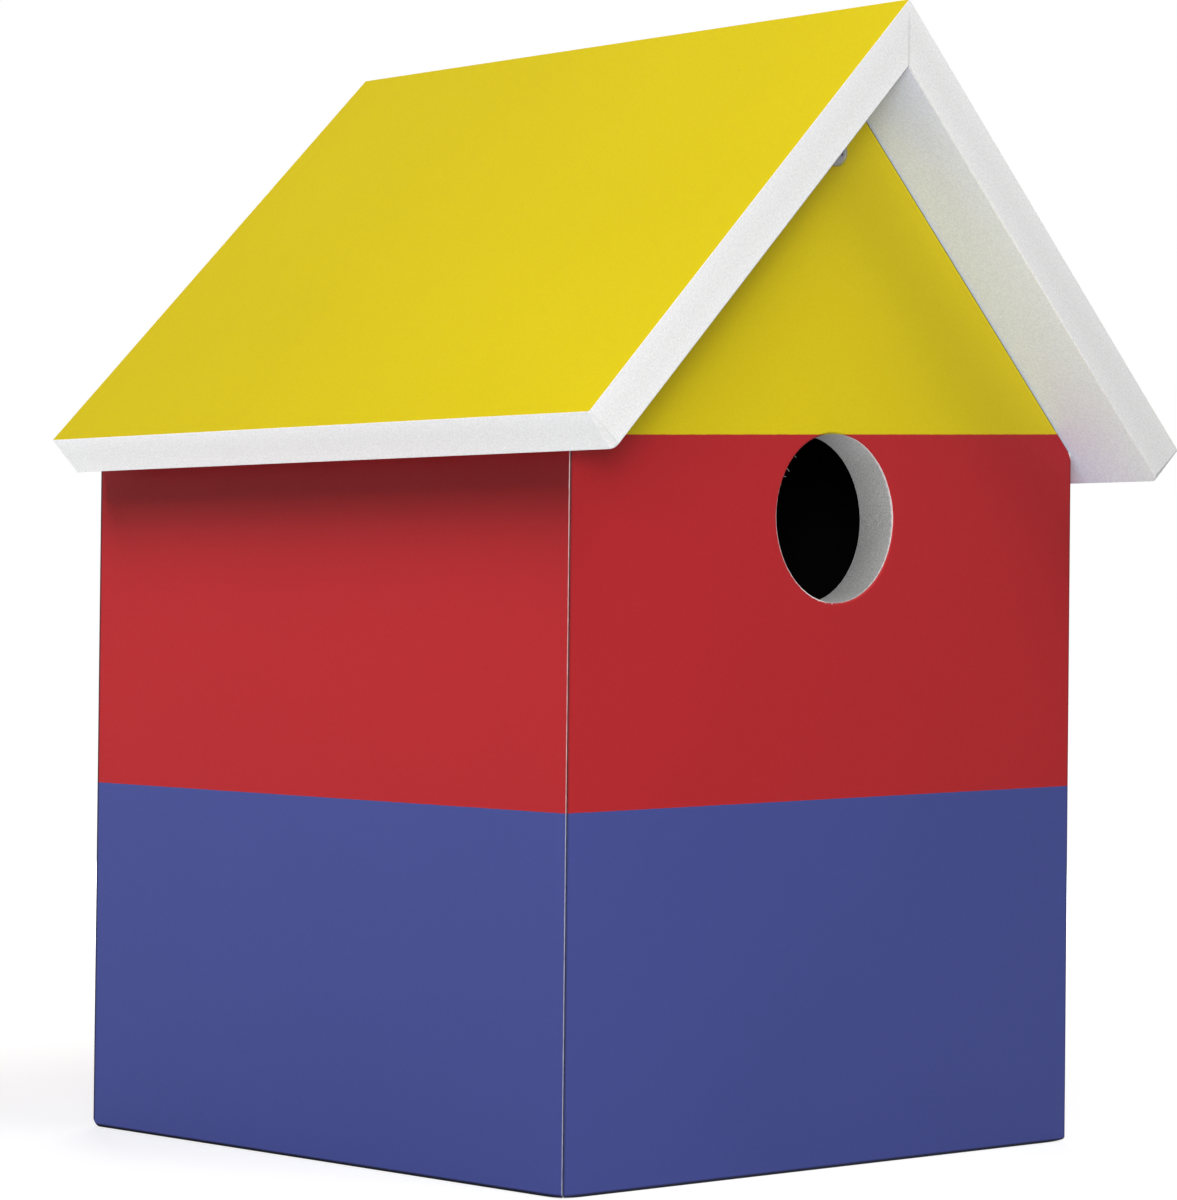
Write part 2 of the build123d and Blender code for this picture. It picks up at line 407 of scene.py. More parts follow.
@dataclass(frozen=True)
class WornSeam:
    """The blunt tip of a mitre, where the white board shows through thin paint; the extra white at the top
    is painted light.
    """

    edge_y: float
    top_z: float
    width: float = 0.15 * MM
    streak_size: float = 3.0 * MM
    bare_and_lit_at_top: float = 0.50
    bare_below: float = 0.30

    def mask(self, bench: Bench) -> Socket:
        """Share of white that shows.

        Args:
            bench: The material's bench.

        Returns:
            The mask.
        """
        _, y, z = bench.axes()
        streaks = bench.noise(self.streak_size, 3.0, bench.stretched((0.0, 0.0, 1.0)))
        # painted light: more white towards the top, where the tip lies in the eave's shade
        bare = bench.span(z, 0.8 * self.top_z, self.top_z, self.bare_below, self.bare_and_lit_at_top)
        share = bench.maths("MULTIPLY", bare, bench.span(streaks, 0.3, 0.7, 0.6, 1.4))
        near = bench.maths("LESS_THAN", y, self.edge_y + self.width)
        return bench.maths("MULTIPLY", near, share)


@dataclass(frozen=True)
class WornRim:
    """The entrance's rim, rubbed pale in a thin line on the right and a wider one at the lower left."""

    centre_z: float
    radius: float
    width: float = 0.36 * MM
    patch_size: float = 3.0 * MM
    bare: float = 0.80

    def mask(self, bench: Bench) -> Socket:
        """Share of white that shows.

        Args:
            bench: The material's bench.

        Returns:
            The mask.
        """
        x, _, z = bench.axes()
        up = bench.maths("SUBTRACT", z, self.centre_z)
        squares = bench.maths("MULTIPLY_ADD", x, x, bench.maths("MULTIPLY", up, up))
        slant = bench.span(bench.maths("ADD", x, up), -1.1 * self.radius, 0.0, 1.0, 0.08)
        left = bench.span(x, -0.35 * self.radius, -0.05 * self.radius, 1.0, 0.15)
        lower_left = bench.maths("MULTIPLY", slant, left)
        across = bench.span(x, 0.0, 0.4 * self.radius, 0.08, 0.40)
        upward = bench.span(up, -0.8 * self.radius, 0.2 * self.radius, 0.3, 1.0)
        right = bench.maths("MULTIPLY", across, upward)
        patches = bench.noise(self.patch_size, 2.0)
        widest = bench.span(patches, 0.3, 0.7, 0.8 * self.width, 1.2 * self.width)
        width = bench.maths("MULTIPLY", bench.maths("MAXIMUM", lower_left, right), widest)
        outside = bench.maths("SUBTRACT", bench.maths("SQRT", squares), self.radius)
        return bench.maths("MULTIPLY", bench.maths("LESS_THAN", outside, width), self.bare)


@dataclass(frozen=True)
class PaintedShadeLine:
    """Painted shade along one end of a painted board, such as the dark line where its foot meets the floor.
    """

    axis: int
    inner: float
    outer: float
    share: float

    def mask(self, bench: Bench) -> Socket:
        """Share of painted shade that shows."""
        return bench.span(bench.axes()[self.axis], self.inner, self.outer, 0.0, self.share)


@dataclass(frozen=True)
class BandedPaint(Finish):
    """Bands of paint, blue below, red above and yellow in a gable, with painted shade along its feet and
    ends, and worn places.
    """

    name: str
    lower: PaintLine
    upper: Optional[PaintLine] = None
    worn: Optional[Union[WornSeam, WornRim]] = None
    grime: Sequence[PaintedShadeLine] = ()
    film: PaintFilm = PaintFilm()

    def dress(self, bench: Bench) -> None:
        """Lays the bands, then the painted shade and the worn places.

        Args:
            bench: The material's bench.
        """
        colour = bench.blend(self.lower.above(bench), Hue.BLUE, Hue.RED)
        if self.upper:
            colour = bench.blend(self.upper.above(bench), colour, Hue.YELLOW)
        # painted shade: darker lines along the foot and the ends of the board
        for line in self.grime:
            colour = bench.blend(line.mask(bench), colour, Hue.GRIME)
        if self.worn:
            colour = bench.blend(self.worn.mask(bench), colour, Hue.WHITE)
        self.film.spread(bench, colour)


@dataclass(frozen=True)
class RoofPaint(Finish):
    """The roof's yellow film, with painted shade: darker towards the eaves and lighter towards the ridge.
    """

    eave_z: float
    ridge_z: float
    name: str = "roof_yellow"
    film: PaintFilm = PaintFilm(peel_size=0.8 * MM, gloss=0.06)
    cloud_size: float = 60.0 * MM
    grain_size: float = 0.35 * MM

    def dress(self, bench: Bench) -> None:
        """Lays the yellow, then its film.

        Args:
            bench: The material's bench.
        """
        colour = bench.tinted(Hue.YELLOW, bench.noise(self.cloud_size, 2.0), 0.98, 1.02)
        colour = bench.tinted(colour, bench.noise(self.grain_size, 2.0), 0.94, 1.06)
        # painted shade: the yellow darkens towards the eave and lightens towards the ridge
        up = bench.span(bench.axes()[2], self.eave_z, self.ridge_z)
        self.film.spread(bench, bench.tinted(colour, up, 0.92, 1.03))


@dataclass(frozen=True)
class RidgeJoint:
    """The joint of the two roof boards: a soft grey line in the primer, which ends just below the ridge."""

    ridge_z: float
    reach: float = 0.45 * MM
    share: float = 0.42
    fade_start: float = 5.0 * MM
    fade_end: float = 2.5 * MM

    def mask(self, bench: Bench) -> Socket:
        """Share of grey that shows.

        Args:
            bench: The material's bench.

        Returns:
            The mask.
        """
        x, _, z = bench.axes()
        near = bench.span(bench.maths("ABSOLUTE", x), 0.1 * self.reach, self.reach, self.share, 0.0)
        below = bench.span(z, self.ridge_z - self.fade_start, self.ridge_z - self.fade_end, 1.0, 0.0)
        return bench.maths("MULTIPLY", near, below)


@dataclass(frozen=True)
class SealedEdge(Finish):
    """White primer on the sawn edges of fibreboard: sandy, and a little darker along the middle of the
    board's thickness as painted shade.
    """

    name: str
    outward: Sequence[float]
    middle: float
    board: float
    joint: Optional[RidgeJoint] = None
    sand_size: float = 0.40 * MM
    sand_depth: float = 0.04 * MM
    gloss: float = 0.08

    def dress(self, bench: Bench) -> None:
        """Lays the primer, its sand, the painted shade along its middle and the joint.

        Args:
            bench: The material's bench.
        """
        sand = bench.noise(self.sand_size, 3.0)
        off_middle = bench.maths("SUBTRACT", bench.depth_along(self.outward), self.middle)
        away = bench.maths("DIVIDE", bench.maths("ABSOLUTE", off_middle), self.board)
        # painted shade: darker along the middle of the edge's thickness, as a crowned face would be shaded
        core = bench.span(away, 0.10, 0.45, 1.0, 0.0)
        colour = bench.tinted(self.tone(bench), sand, 0.78, 1.20)
        colour = bench.tinted(colour, core, 1.0, 0.955)
        if self.joint:
            colour = bench.blend(self.joint.mask(bench), colour, Hue.JOINT_GREY)
        bench.coat(colour, sand, (0.62, 0.80), self.sand_depth, self.gloss)

    def tone(self, bench: Bench) -> Feed:
        """Colour of the primer."""
        return Hue.WHITE


@dataclass(frozen=True)
class ShadedArris(SealedEdge):
    """The same primer on a rounded arris, greyer as painted shade that damps the highlight along the arris.
    """

    def tone(self, bench: Bench) -> Feed:
        """Colour of the primer."""
        return Hue.ARRIS_WHITE


@dataclass(frozen=True)
class Eave(SealedEdge):
    """The same primer along an eave, greyer towards the front as painted shade."""

    rake_y: float = 0.0
    back_y: float = 0.0

    def tone(self, bench: Bench) -> Feed:
        """Colour of the primer, from the front to the back."""
        # painted shade: greyer at the front of the eave, paler towards its back
        back = bench.span(bench.axes()[1], self.rake_y, self.back_y)
        return bench.blend(back, Hue.EAVE_GREY, Hue.EAVE_PALE)


@dataclass(frozen=True)
class Soffit(SealedEdge):
    """The same primer under the roof, tinted cold and graded as painted light, so that it looks evenly
    white beside the bright gable in spite of the coloured bounce and uneven light there.
    """

    eave_z: float = 0.0
    ridge_z: float = 0.0
    gable_y: float = 0.0
    rake_y: float = 0.0

    def tone(self, bench: Bench) -> Feed:
        """Colour of the primer, from the eave up to the ridge and from the gable out to the rake.

        Args:
            bench: The material's bench.

        Returns:
            The colour.
        """
        _, y, z = bench.axes()
        # painted light: the tone grades from the eave to the ridge and from the gable to the rake
        up = bench.span(z, self.eave_z, self.ridge_z)
        rake = bench.blend(up, Hue.EAVE_WHITE, Hue.RIDGE_WHITE)
        return bench.blend(bench.span(y, self.gable_y, self.rake_y), Hue.GABLE_WHITE, rake)


@dataclass(frozen=True)
class ShadeBand:
    """A band of painted light and shade in a bored hole, whose tone changes between two heights in radii
    from the centre.
    """

    start: float
    end: float
    first: float
    last: float


@dataclass(frozen=True)
class BoredWall(Finish):
    """Primer on the fibres of a bored hole, with painted light and shade: palest at the top, darkest near
    the foot, darker further in.
    """

    face_y: float
    board: float
    centre_z: float
    radius: float
    name: str = "bored_wall"
    fibre_size: float = 0.24 * MM
    shade_bands: tuple[ShadeBand, ...] = (
        ShadeBand(-1.0, -0.86, 1.28, 1.0),
        ShadeBand(-1.0, 0.0, 0.80, 1.02),
        ShadeBand(0.0, 0.65, 1.0, 1.20),
        ShadeBand(0.65, 1.0, 1.0, 1.55),
    )

    def dress(self, bench: Bench) -> None:
        """Lays the fibres and the coats of primer.

        Args:
            bench: The material's bench.
        """
        _, y, z = bench.axes()
        fibres = bench.noise(self.fibre_size, 4.0)
        inwards = bench.span(y, self.face_y, self.face_y + self.board)
        colour = bench.tinted(Hue.PRIMER_GREY, fibres, 0.28, 1.72)
        # painted light and shade: each band lightens or darkens the primer between two heights
        for coat in self.shade_bands:
            low, high = (self.centre_z + height * self.radius for height in (coat.start, coat.end))
            colour = bench.tinted(colour, bench.span(z, low, high), coat.first, coat.last)
        # painted shade: darker further into the hole
        bench.coat(bench.tinted(colour, inwards, 1.08, 0.90), fibres, (0.7, 0.9), 0.06 * MM, 0.08)


@dataclass(frozen=True)
class TornFibre(Finish):
    """Grey fibres of the board, dusty with primer."""

    name: str = "torn_fibre"
    dust_size: float = 0.15 * MM

    def dress(self, bench: Bench) -> None:
        """Lays the grey and its dust."""
        dust = bench.noise(self.dust_size, 2.0)
        bench.coat(bench.tinted(Hue.FIBRE_GREY, dust, 0.6, 1.4), dust, (0.75, 0.90), 0.01 * MM, 0.08)


@dataclass(frozen=True)
class InsideShadeBlack(Finish):
    """Dull black on the faces of the room inside, with the board's fibres showing faintly: painted shade
    that keeps the room dark through the entrance and the gaps.
    """

    name: str = "black_stain"
    fibre_size: float = 0.5 * MM
    upright: Sequence[float] = (1.0, 1.0, 0.15)

    def dress(self, bench: Bench) -> None:
        """Lays the black over the fibres.

        Args:
            bench: The material's bench.
        """
        fibres = bench.noise(self.fibre_size, 3.0, bench.stretched(self.upright))
        shade_black = bench.tinted(Hue.BLACK, fibres, 0.5, 1.6)
        bench.coat(shade_black, fibres, (0.80, 0.95), 0.02 * MM, 0.1, spread=(0.2, 0.8))


@dataclass(frozen=True)
class BareBoard(Finish):
    """Raw fibreboard: pressed brown fibres with paler and darker flecks."""

    name: str = "bare_board"
    fibre_size: float = 0.6 * MM
    cloud_size: float = 18.0 * MM

    def dress(self, bench: Bench) -> None:
        """Lays the fibres and their clouding.

        Args:
            bench: The material's bench.
        """
        fibres = bench.noise(self.fibre_size, 4.0)
        clouds = bench.noise(self.cloud_size, 3.0)
        brown = bench.blend(fibres, Hue.BOARD_DARK, Hue.BOARD_PALE)
        colour = bench.tinted(brown, clouds, 0.9, 1.1)
        bench.coat(colour, fibres, (0.70, 0.88), 0.03 * MM, 0.2, spread=(0.2, 0.8))


@dataclass(frozen=True)
class Softwood(Finish):
    """Planed pine with its rings about a heart outside the strip."""

    name: str = "pine"
    heart: tuple[float, float] = (16.0 * MM, 160.0 * MM)
    ring: float = 2.6 * MM
    waver_size: float = 30.0 * MM
    waver: float = 5.0 * MM
    fibre_size: float = 0.4 * MM

    def dress(self, bench: Bench) -> None:
        """Lays the rings, from pale early wood to dark late wood, and the fibres.

        Args:
            bench: The material's bench.
        """
        x, _, z = bench.axes()
        across = bench.maths("SUBTRACT", x, self.heart[0])
        upward = bench.maths("SUBTRACT", z, self.heart[1])
        squares = bench.maths("MULTIPLY_ADD", across, across, bench.maths("MULTIPLY", upward, upward))
        waver = bench.noise(self.waver_size, 2.0, bench.stretched((1.0, 0.25, 1.0)))
        reach = bench.maths("MULTIPLY_ADD", waver, self.waver, bench.maths("SQRT", squares))
        ring = bench.maths("FRACT", bench.maths("DIVIDE", reach, self.ring))
        late = bench.maths("POWER", ring, 3.0)
        fibres = bench.noise(self.fibre_size, 2.0, bench.stretched((1.0, 0.03, 1.0)))
        colour = bench.blend(late, Hue.PINE_EARLY, Hue.PINE_LATE)
        bench.set(
            base_color=bench.tinted(colour, fibres, 0.88, 1.10),
            roughness=bench.span(late, 0.0, 1.0, 0.62, 0.5),
            specular_level=0.3,
            normal=bench.bump(fibres, 0.02 * MM),
        )


@dataclass(frozen=True)
class Beech(Finish):
    """Turned beech with short dark flecks along its grain."""

    name: str
    along: Sequence[float]
    fleck_size: float = 0.35 * MM
    cloud_size: float = 4.0 * MM

    def dress(self, bench: Bench) -> None:
        """Lays the wood and its flecks.

        Args:
            bench: The material's bench.
        """
        flecks = bench.noise(self.fleck_size, 1.0, bench.stretched(self.along))
        clouds = bench.noise(self.cloud_size, 2.0, bench.stretched(self.along))
        colour = bench.blend(clouds, Hue.BEECH_DARK, Hue.BEECH_PALE)
        colour = bench.blend(bench.span(flecks, 0.60, 0.72), colour, Hue.BEECH_FLECK)
        bench.coat(colour, flecks, (0.50, 0.65), 0.015 * MM, 0.3)


@dataclass(frozen=True)
class BirchPly(Finish):
    """Birch ply: veneers whose grain runs up and across by turns."""

    name: str
    turn: float
    middle: Vector
    veneer: float
    grain_size: float = 0.4 * MM

    def dress(self, bench: Bench) -> None:
        """Lays the veneers by turns through the strip.

        Args:
            bench: The material's bench.
        """
        x, y, _ = bench.axes()
        off_x = bench.maths("SUBTRACT", x, self.middle.x)
        off_y = bench.maths("SUBTRACT", y, self.middle.y)
        across = bench.maths("MULTIPLY", off_x, -math.sin(self.turn))
        through = bench.maths("MULTIPLY_ADD", off_y, math.cos(self.turn), across)
        layer = bench.maths("FLOOR", bench.maths("ADD", bench.maths("DIVIDE", through, self.veneer), 0.5))
        odd = bench.maths("PINGPONG", layer, 1.0)
        upright = bench.noise(self.grain_size, 2.0, bench.stretched((1.0, 1.0, 0.04)))
        level = bench.noise(self.grain_size, 2.0, bench.stretched((0.2, 0.2, 1.0)))
        light = bench.blend(upright, Hue.BIRCH_UP_DARK, Hue.BIRCH_UP_PALE)
        dark = bench.blend(level, Hue.BIRCH_ACROSS_DARK, Hue.BIRCH_ACROSS_PALE)
        bench.coat(bench.blend(odd, light, dark), upright, (0.55, 0.70), 0.02 * MM, 0.3)


@dataclass(frozen=True)
class ZincSteel(Finish):
    """Bright zinc on a small screw, a little dulled."""

    name: str = "zinc_steel"
    dull_size: float = 0.8 * MM

    def dress(self, bench: Bench) -> None:
        """Lays bright and dull metal.

        Args:
            bench: The material's bench.
        """
        dull = bench.noise(self.dull_size, 3.0)
        colour = bench.blend(dull, Hue.ZINC_DULL, Hue.ZINC_BRIGHT)
        bench.coat(colour, dull, (0.28, 0.45), 0.01 * MM, 0.5)
        bench.set(metallic=1.0)


class Plan(NodeSheet):
    """A Geometry Nodes tree laid out in code, with named sizes as its inputs."""

    def __init__(self, name: str) -> None:
        """Starts a tree that takes a mesh and gives one.

        Args:
            name: Name of the tree.
        """
        super().__init__(bpy.data.node_groups.new(name, "GeometryNodeTree"))
        self.tree.interface.new_socket("Geometry", in_out="INPUT", socket_type="NodeSocketGeometry")
        self.tree.interface.new_socket("Geometry", in_out="OUTPUT", socket_type="NodeSocketGeometry")
        self.given = self.node("NodeGroupInput")
        self.result = self.node("NodeGroupOutput")

    def size(self, name: str, whole: bool = False) -> Socket:
        """Adds a named input.

        Args:
            name: Name of the size.
            whole: Whether it is a count.

        Returns:
            The socket that gives the size.
        """
        kind = "NodeSocketInt" if whole else "NodeSocketFloat"
        self.tree.interface.new_socket(name, in_out="INPUT", socket_type=kind)
        return self.given.outputs[name]

    def step(self, kind: str, feeds: Feeds, **settings: object) -> Socket:
        """Adds a node and gives its first output."""
        return self.node(kind, feeds, **settings).outputs[0]

    def position(self) -> Socket:
        """Place of each point."""
        return self.node("GeometryNodeInputPosition").outputs[0]

    def vector(self, x: Feed = 0.0, y: Feed = 0.0, z: Feed = 0.0) -> Socket:
        """A vector from three values."""
        return self.step("ShaderNodeCombineXYZ", {0: x, 1: y, 2: z})

    def ring(self, points: Feed, radius: Feed) -> Socket:
        """A circle of points about Z."""
        feeds = {"Resolution": points, "Radius": radius}
        return self.step("GeometryNodeCurvePrimitiveCircle", feeds, mode="RADIUS")

    def astray(self, low: float, high: float, seed: int) -> Socket:
        """A random number for each point, from a fixed seed."""
        feeds = {2: low, 3: high, 8: seed}
        return self.node("FunctionNodeRandomValue", feeds, data_type="FLOAT").outputs[1]

    def close(self, shape: Socket, material: Material) -> None:
        """Ends the tree.

        Args:
            shape: Geometry to give out.
            material: Material of all its faces.
        """
        real = self.step("GeometryNodeRealizeInstances", {"Geometry": shape})
        coat = self.step("GeometryNodeSetMaterial", {"Geometry": real, "Material": material})
        self.feed(self.result.inputs["Geometry"], coat)

    def run(self, name: str, sizes: dict[str, float], start: Optional[Mesh] = None) -> Mesh:
        """Runs the tree once and gives a plain mesh.

        Args:
            name: Name of the mesh.
            sizes: Value of each named input.
            start: Mesh that the tree takes in.

        Returns:
            The finished mesh.
        """
        holder = bpy.data.objects.new(name + "_holder", start or bpy.data.meshes.new(name + "_start"))
        bpy.context.scene.collection.objects.link(holder)
        modifier = holder.modifiers.new("plan", "NODES")
        modifier.node_group = self.tree
        for item in self.tree.interface.items_tree:
            if item.item_type == "SOCKET" and item.in_out == "INPUT" and item.name in sizes:
                modifier[item.identifier] = sizes[item.name]
        mesh = evaluated_mesh(holder, name)
        holder.modifiers.clear()
        bpy.data.objects.remove(holder)
        return mesh


def evaluated_mesh(piece: Piece, name: str) -> Mesh:
    """A plain mesh of a piece with its modifiers worked in.

    Args:
        piece: The piece.
        name: Name of the new mesh.

    Returns:
        The new mesh.
    """
    graph = bpy.context.evaluated_depsgraph_get()
    graph.update()
    mesh = bpy.data.meshes.new_from_object(piece.evaluated_get(graph))
    mesh.name = name
    return mesh


def welded_copy(node: str) -> Shape:
    """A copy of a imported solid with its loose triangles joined.

    Args:
        node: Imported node.

    Returns:
        The copy.
    """
    bm = bmesh.new()
    bm.from_mesh(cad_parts[node].data)
    bmesh.ops.remove_doubles(bm, verts=bm.verts[:], dist=WELD)
    bm.normal_update()
    return bm


def merge_flat(bm: Shape) -> None:
    """Merges the triangles of each flat face into one."""
    bmesh.ops.dissolve_limit(bm, angle_limit=FLAT, verts=bm.verts[:], edges=bm.edges[:])


def mesh_of(bm: Shape, name: str) -> Mesh:
    """Turns a worked shape into a mesh.

    Args:
        bm: The shape, which is used up.
        name: Name of the mesh.

    Returns:
        The mesh.
    """
    mesh = bpy.data.meshes.new(name)
    bm.to_mesh(mesh)
    bm.free()
    return mesh


def smooth(mesh: Mesh, angle: float = math.radians(35.0)) -> None:
    """Shades a mesh smooth, with its edges sharp past an angle."""
    mesh.shade_smooth()
    mesh.set_sharp_from_angle(angle=angle)


def new_piece(name: str, mesh: Mesh, body: str, stands_for: Sequence[str] = ()) -> Piece:
    """Links a finished mesh into the scene as a piece of the object.

    Args:
        name: Name of the piece.
        mesh: Its mesh, in the shared frame.
        body: Body that it moves with.
        stands_for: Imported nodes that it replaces.

    Returns:
        The piece.
    """
    piece = bpy.data.objects.new(name, mesh)
    bpy.context.scene.collection.objects.link(piece)
    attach(piece, body)
    if stands_for:
        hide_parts(*stands_for)
    LOG.info("%s: %d faces on %s", name, len(mesh.polygons), body)
    return piece


@dataclass(frozen=True)
class WornFoot:
    """A bottom corner of a board, rubbed off towards one end."""

    axis: int
    end: float
    reach: float
    lift: float
    foot: float = 1.0 * MM
    steps: tuple[float, ...] = (0.1, 0.25, 0.45, 0.7, 1.0)

    def cuts(self) -> list[Plane]:
        """Planes that give the rubbed foot its curve.

        Returns:
            A point and a normal for each plane.
        """
        across = Vector(1.0 if axis == self.axis else 0.0 for axis in range(3))
        inward = -math.copysign(self.reach, self.end)
        return [(across * (self.end + step * inward), across) for step in self.steps]

    def rub(self, bm: Shape) -> None:
        """Lifts the foot of a board towards its end.

        Args:
            bm: Shape of the board.
        """
        for vertex in bm.verts:
            away = (self.end - vertex.co[self.axis]) * math.copysign(1.0, self.end) / self.reach
            if vertex.co.z < self.foot and away < 1.0:
                vertex.co.z += self.lift * (1.0 - max(away, 0.0)) ** 2


@dataclass
class Board:
    """One board: its solid with the long edges eased and a finish for each kind of face."""

    name: str
    node: str
    slot: str
    finishes: dict[Face, Material]
    kind_of: Callable[[Vector, Vector], Face] = lambda centre, normal: Face.PAINT
    body: str = "house"
    ease: float = 0.15 * MM
    cuts: Sequence[Plane] = ()
    feet: Sequence[WornFoot] = ()

    least_edge: float = 4.0 * MM
    least_turn: float = math.radians(40.0)
    tip_width: float = 0.6 * MM

    def build(self) -> Piece:
        """Builds the board and dresses it.

        Returns:
            The finished piece.
        """
        bm = self.copy_solid()
        for point, normal in [*self.cuts, *(cut for foot in self.feet for cut in foot.cuts())]:
            whole = bm.verts[:] + bm.edges[:] + bm.faces[:]
            bmesh.ops.bisect_plane(bm, geom=whole, plane_co=point, plane_no=normal)
        self.sort_faces(bm)
        for foot in self.feet:
            foot.rub(bm)
        bm.normal_update()
        self.ease_edges(bm)
        mesh = mesh_of(bm, self.name)
        for finish in self.finishes.values():
            mesh.materials.append(finish)
        smooth(mesh)
        piece = new_piece(self.name, mesh, self.body, (self.node,))
        piece.modifiers.new("flat_faces", "WEIGHTED_NORMAL").keep_sharp = True
        return piece

    def copy_solid(self) -> Shape:
        """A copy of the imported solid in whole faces, without its layers of coordinates and colours.

        Returns:
            The copy.
        """
        bm = welded_copy(self.node)
        merge_flat(bm)
        for layer in (bm.loops.layers.uv, bm.loops.layers.color):
            for held in list(layer.values()):
                layer.remove(held)
        bm.normal_update()
        return bm

    def sort_faces(self, bm: Shape) -> None:
        """Gives each face the material slot of its kind.

        Args:
            bm: Shape of the board.
        """
        kinds = list(self.finishes)
        for face in bm.faces:
            face.material_index = kinds.index(self.kind_of(face.calc_center_median(), face.normal))

    def ease_edges(self, bm: Shape) -> None:
        """Eases the long sharp edges, but not those of the blunt mitre tips.

        Args:
            bm: Shape of the board.
        """
        tips = {face for face in bm.faces if self.is_tip(face)}
        eased = [
            edge
            for edge in bm.edges
            if len(edge.link_faces) == 2
            and edge.calc_length() > self.least_edge
            and edge.calc_face_angle_signed() > self.least_turn
            and not tips.intersection(edge.link_faces)
        ]
        bmesh.ops.bevel(
            bm, geom=eased, offset=self.ease, segments=2, profile=0.5, affect="EDGES", material=-1
        )

    def is_tip(self, face: bmesh.types.BMFace) -> bool:
        """Whether a face is a narrow strip, such as the blunt tip of a mitre."""
        longest = max(edge.calc_length() for edge in face.edges)
        return face.calc_area() < longest * self.tip_width


@dataclass
class House:
    """The boards of the house: two gables, two walls, two roof boards and the floor."""

    sizes: HouseSizes
    entrance_radius: float = 16.0 * MM
    entrance_drop: float = 15.0 * MM
    band_front: tuple[float, float] = (68.5 * MM, 71.4 * MM)
    band_back: tuple[float, float] = (69.8 * MM, 70.6 * MM)
    gable_line: tuple[float, float] = (135.85 * MM, 142.15 * MM)
    shadow_gap: float = 0.42 * MM
    front_rub: tuple[float, float] = (5.0 * MM, 0.26 * MM)
    back_rub: tuple[float, float] = (1.4 * MM, 1.10 * MM)
    # reaches and share of the painted shade along the feet and ends of the boards
    foot_shade: tuple[float, float] = (0.80 * MM, 0.45 * MM)
    wall_end_shade: tuple[float, float] = (0.80 * MM, 0.35 * MM)
    gable_end_shade: tuple[float, float] = (0.45 * MM, 0.20 * MM)
    foot_shade_share: float = 0.90
    facing: float = 0.9
    leaning: float = 0.3

    inside: Material = field(default_factory=lambda: InsideShadeBlack().make())

    @property
    def entrance_z(self) -> float:
        """Height of the entrance's centre, from its drop below the shoulder."""
        return self.sizes.shoulder_z - self.entrance_drop

    @property
    def room_front(self) -> float:
        """Where the black of the roof's underside starts, behind the front's face."""
        return self.sizes.front_y + self.shadow_gap

    @property
    def room_side(self) -> float:
        """Half the width of the black on the roof's underside."""
        return self.sizes.inner_x + self.sizes.board - self.shadow_gap

    def build(self) -> None:
        """Builds every board."""
        self.front()
        self.back()
        low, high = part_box("left_roof_board")
        roof_paint = RoofPaint(low.z, high.z).make()
        for hand in Hand:
            self.wall(hand)
            self.roof(hand, roof_paint)
        self.floor()

    def edge(self, node: str, outward: Vector, joint: Optional[RidgeJoint] = None) -> Material:
        """The sealed edge of one board, with the joint that shows on it."""
        core = self.core(node, outward)
        return SealedEdge(node + "_edge", outward, core, self.sizes.board, joint).make()

    def core(self, node: str, outward: Vector) -> float:
        """How far the core of a board lies out along its normal."""
        reach = max(outward.dot(vertex.co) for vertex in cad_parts[node].data.vertices)
        return reach - self.sizes.board / 2.0

    def grime(self, node: str, axis: int, share: float) -> tuple[PaintedShadeLine, ...]:
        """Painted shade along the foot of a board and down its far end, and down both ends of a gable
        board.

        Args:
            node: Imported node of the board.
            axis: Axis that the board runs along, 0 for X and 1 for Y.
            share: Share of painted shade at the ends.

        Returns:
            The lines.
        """
        low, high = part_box(node)
        foot = PaintedShadeLine(2, *(low.z + reach for reach in self.foot_shade), self.foot_shade_share)
        if axis == 1:
            return foot, PaintedShadeLine(axis, *(high.y - reach for reach in self.wall_end_shade), share)
        far = PaintedShadeLine(axis, *(high.x - reach for reach in self.gable_end_shade), share)
        near = PaintedShadeLine(axis, *(low.x + reach for reach in self.gable_end_shade), share)
        return foot, far, near

    def feet(self, node: str, axis: int) -> tuple[WornFoot, WornFoot]:
        """The two bottom corners of a board, rubbed a little at the front and rounder at the back.

        Args:
            node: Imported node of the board.
            axis: Axis that the board runs along, 0 for X and 1 for Y.

        Returns:
            The corners.
        """
        low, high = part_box(node)
        near = self.back_rub if node == "back_panel" else self.front_rub
        far = self.front_rub if node == "front_panel" else self.back_rub
        return WornFoot(axis, low[axis], *near), WornFoot(axis, high[axis], *far)

    def across(self, heights: tuple[float, float]) -> PaintLine:
        """A paint line across a gable, between its heights at the left and the right corner."""
        return PaintLine(0, -self.sizes.half_width, self.sizes.half_width, *heights)

    def front(self) -> Piece:
        """The loose front, with the entrance.

        Returns:
            The finished piece.
        """
        node = "front_panel"
        rim = WornRim(self.entrance_z, self.entrance_radius)
        band, gable = self.across(self.band_front), self.across(self.gable_line)
        paint = BandedPaint("front_bands", band, gable, rim, self.grime(node, 0, 0.40))
        bore = BoredWall(self.sizes.front_y, self.sizes.board, self.entrance_z, self.entrance_radius)
        finishes = {
            Face.PAINT: paint.make(),
            Face.EDGE: self.edge(node, Vector((0.0, -1.0, 0.0))),
            Face.INSIDE: self.inside,
            Face.BORE: bore.make(),
        }
        feet = self.feet(node, 0)
        kind = self.gable_kind
        return Board("front_board", node, "gable_paint", finishes, kind, "front", feet=feet).build()

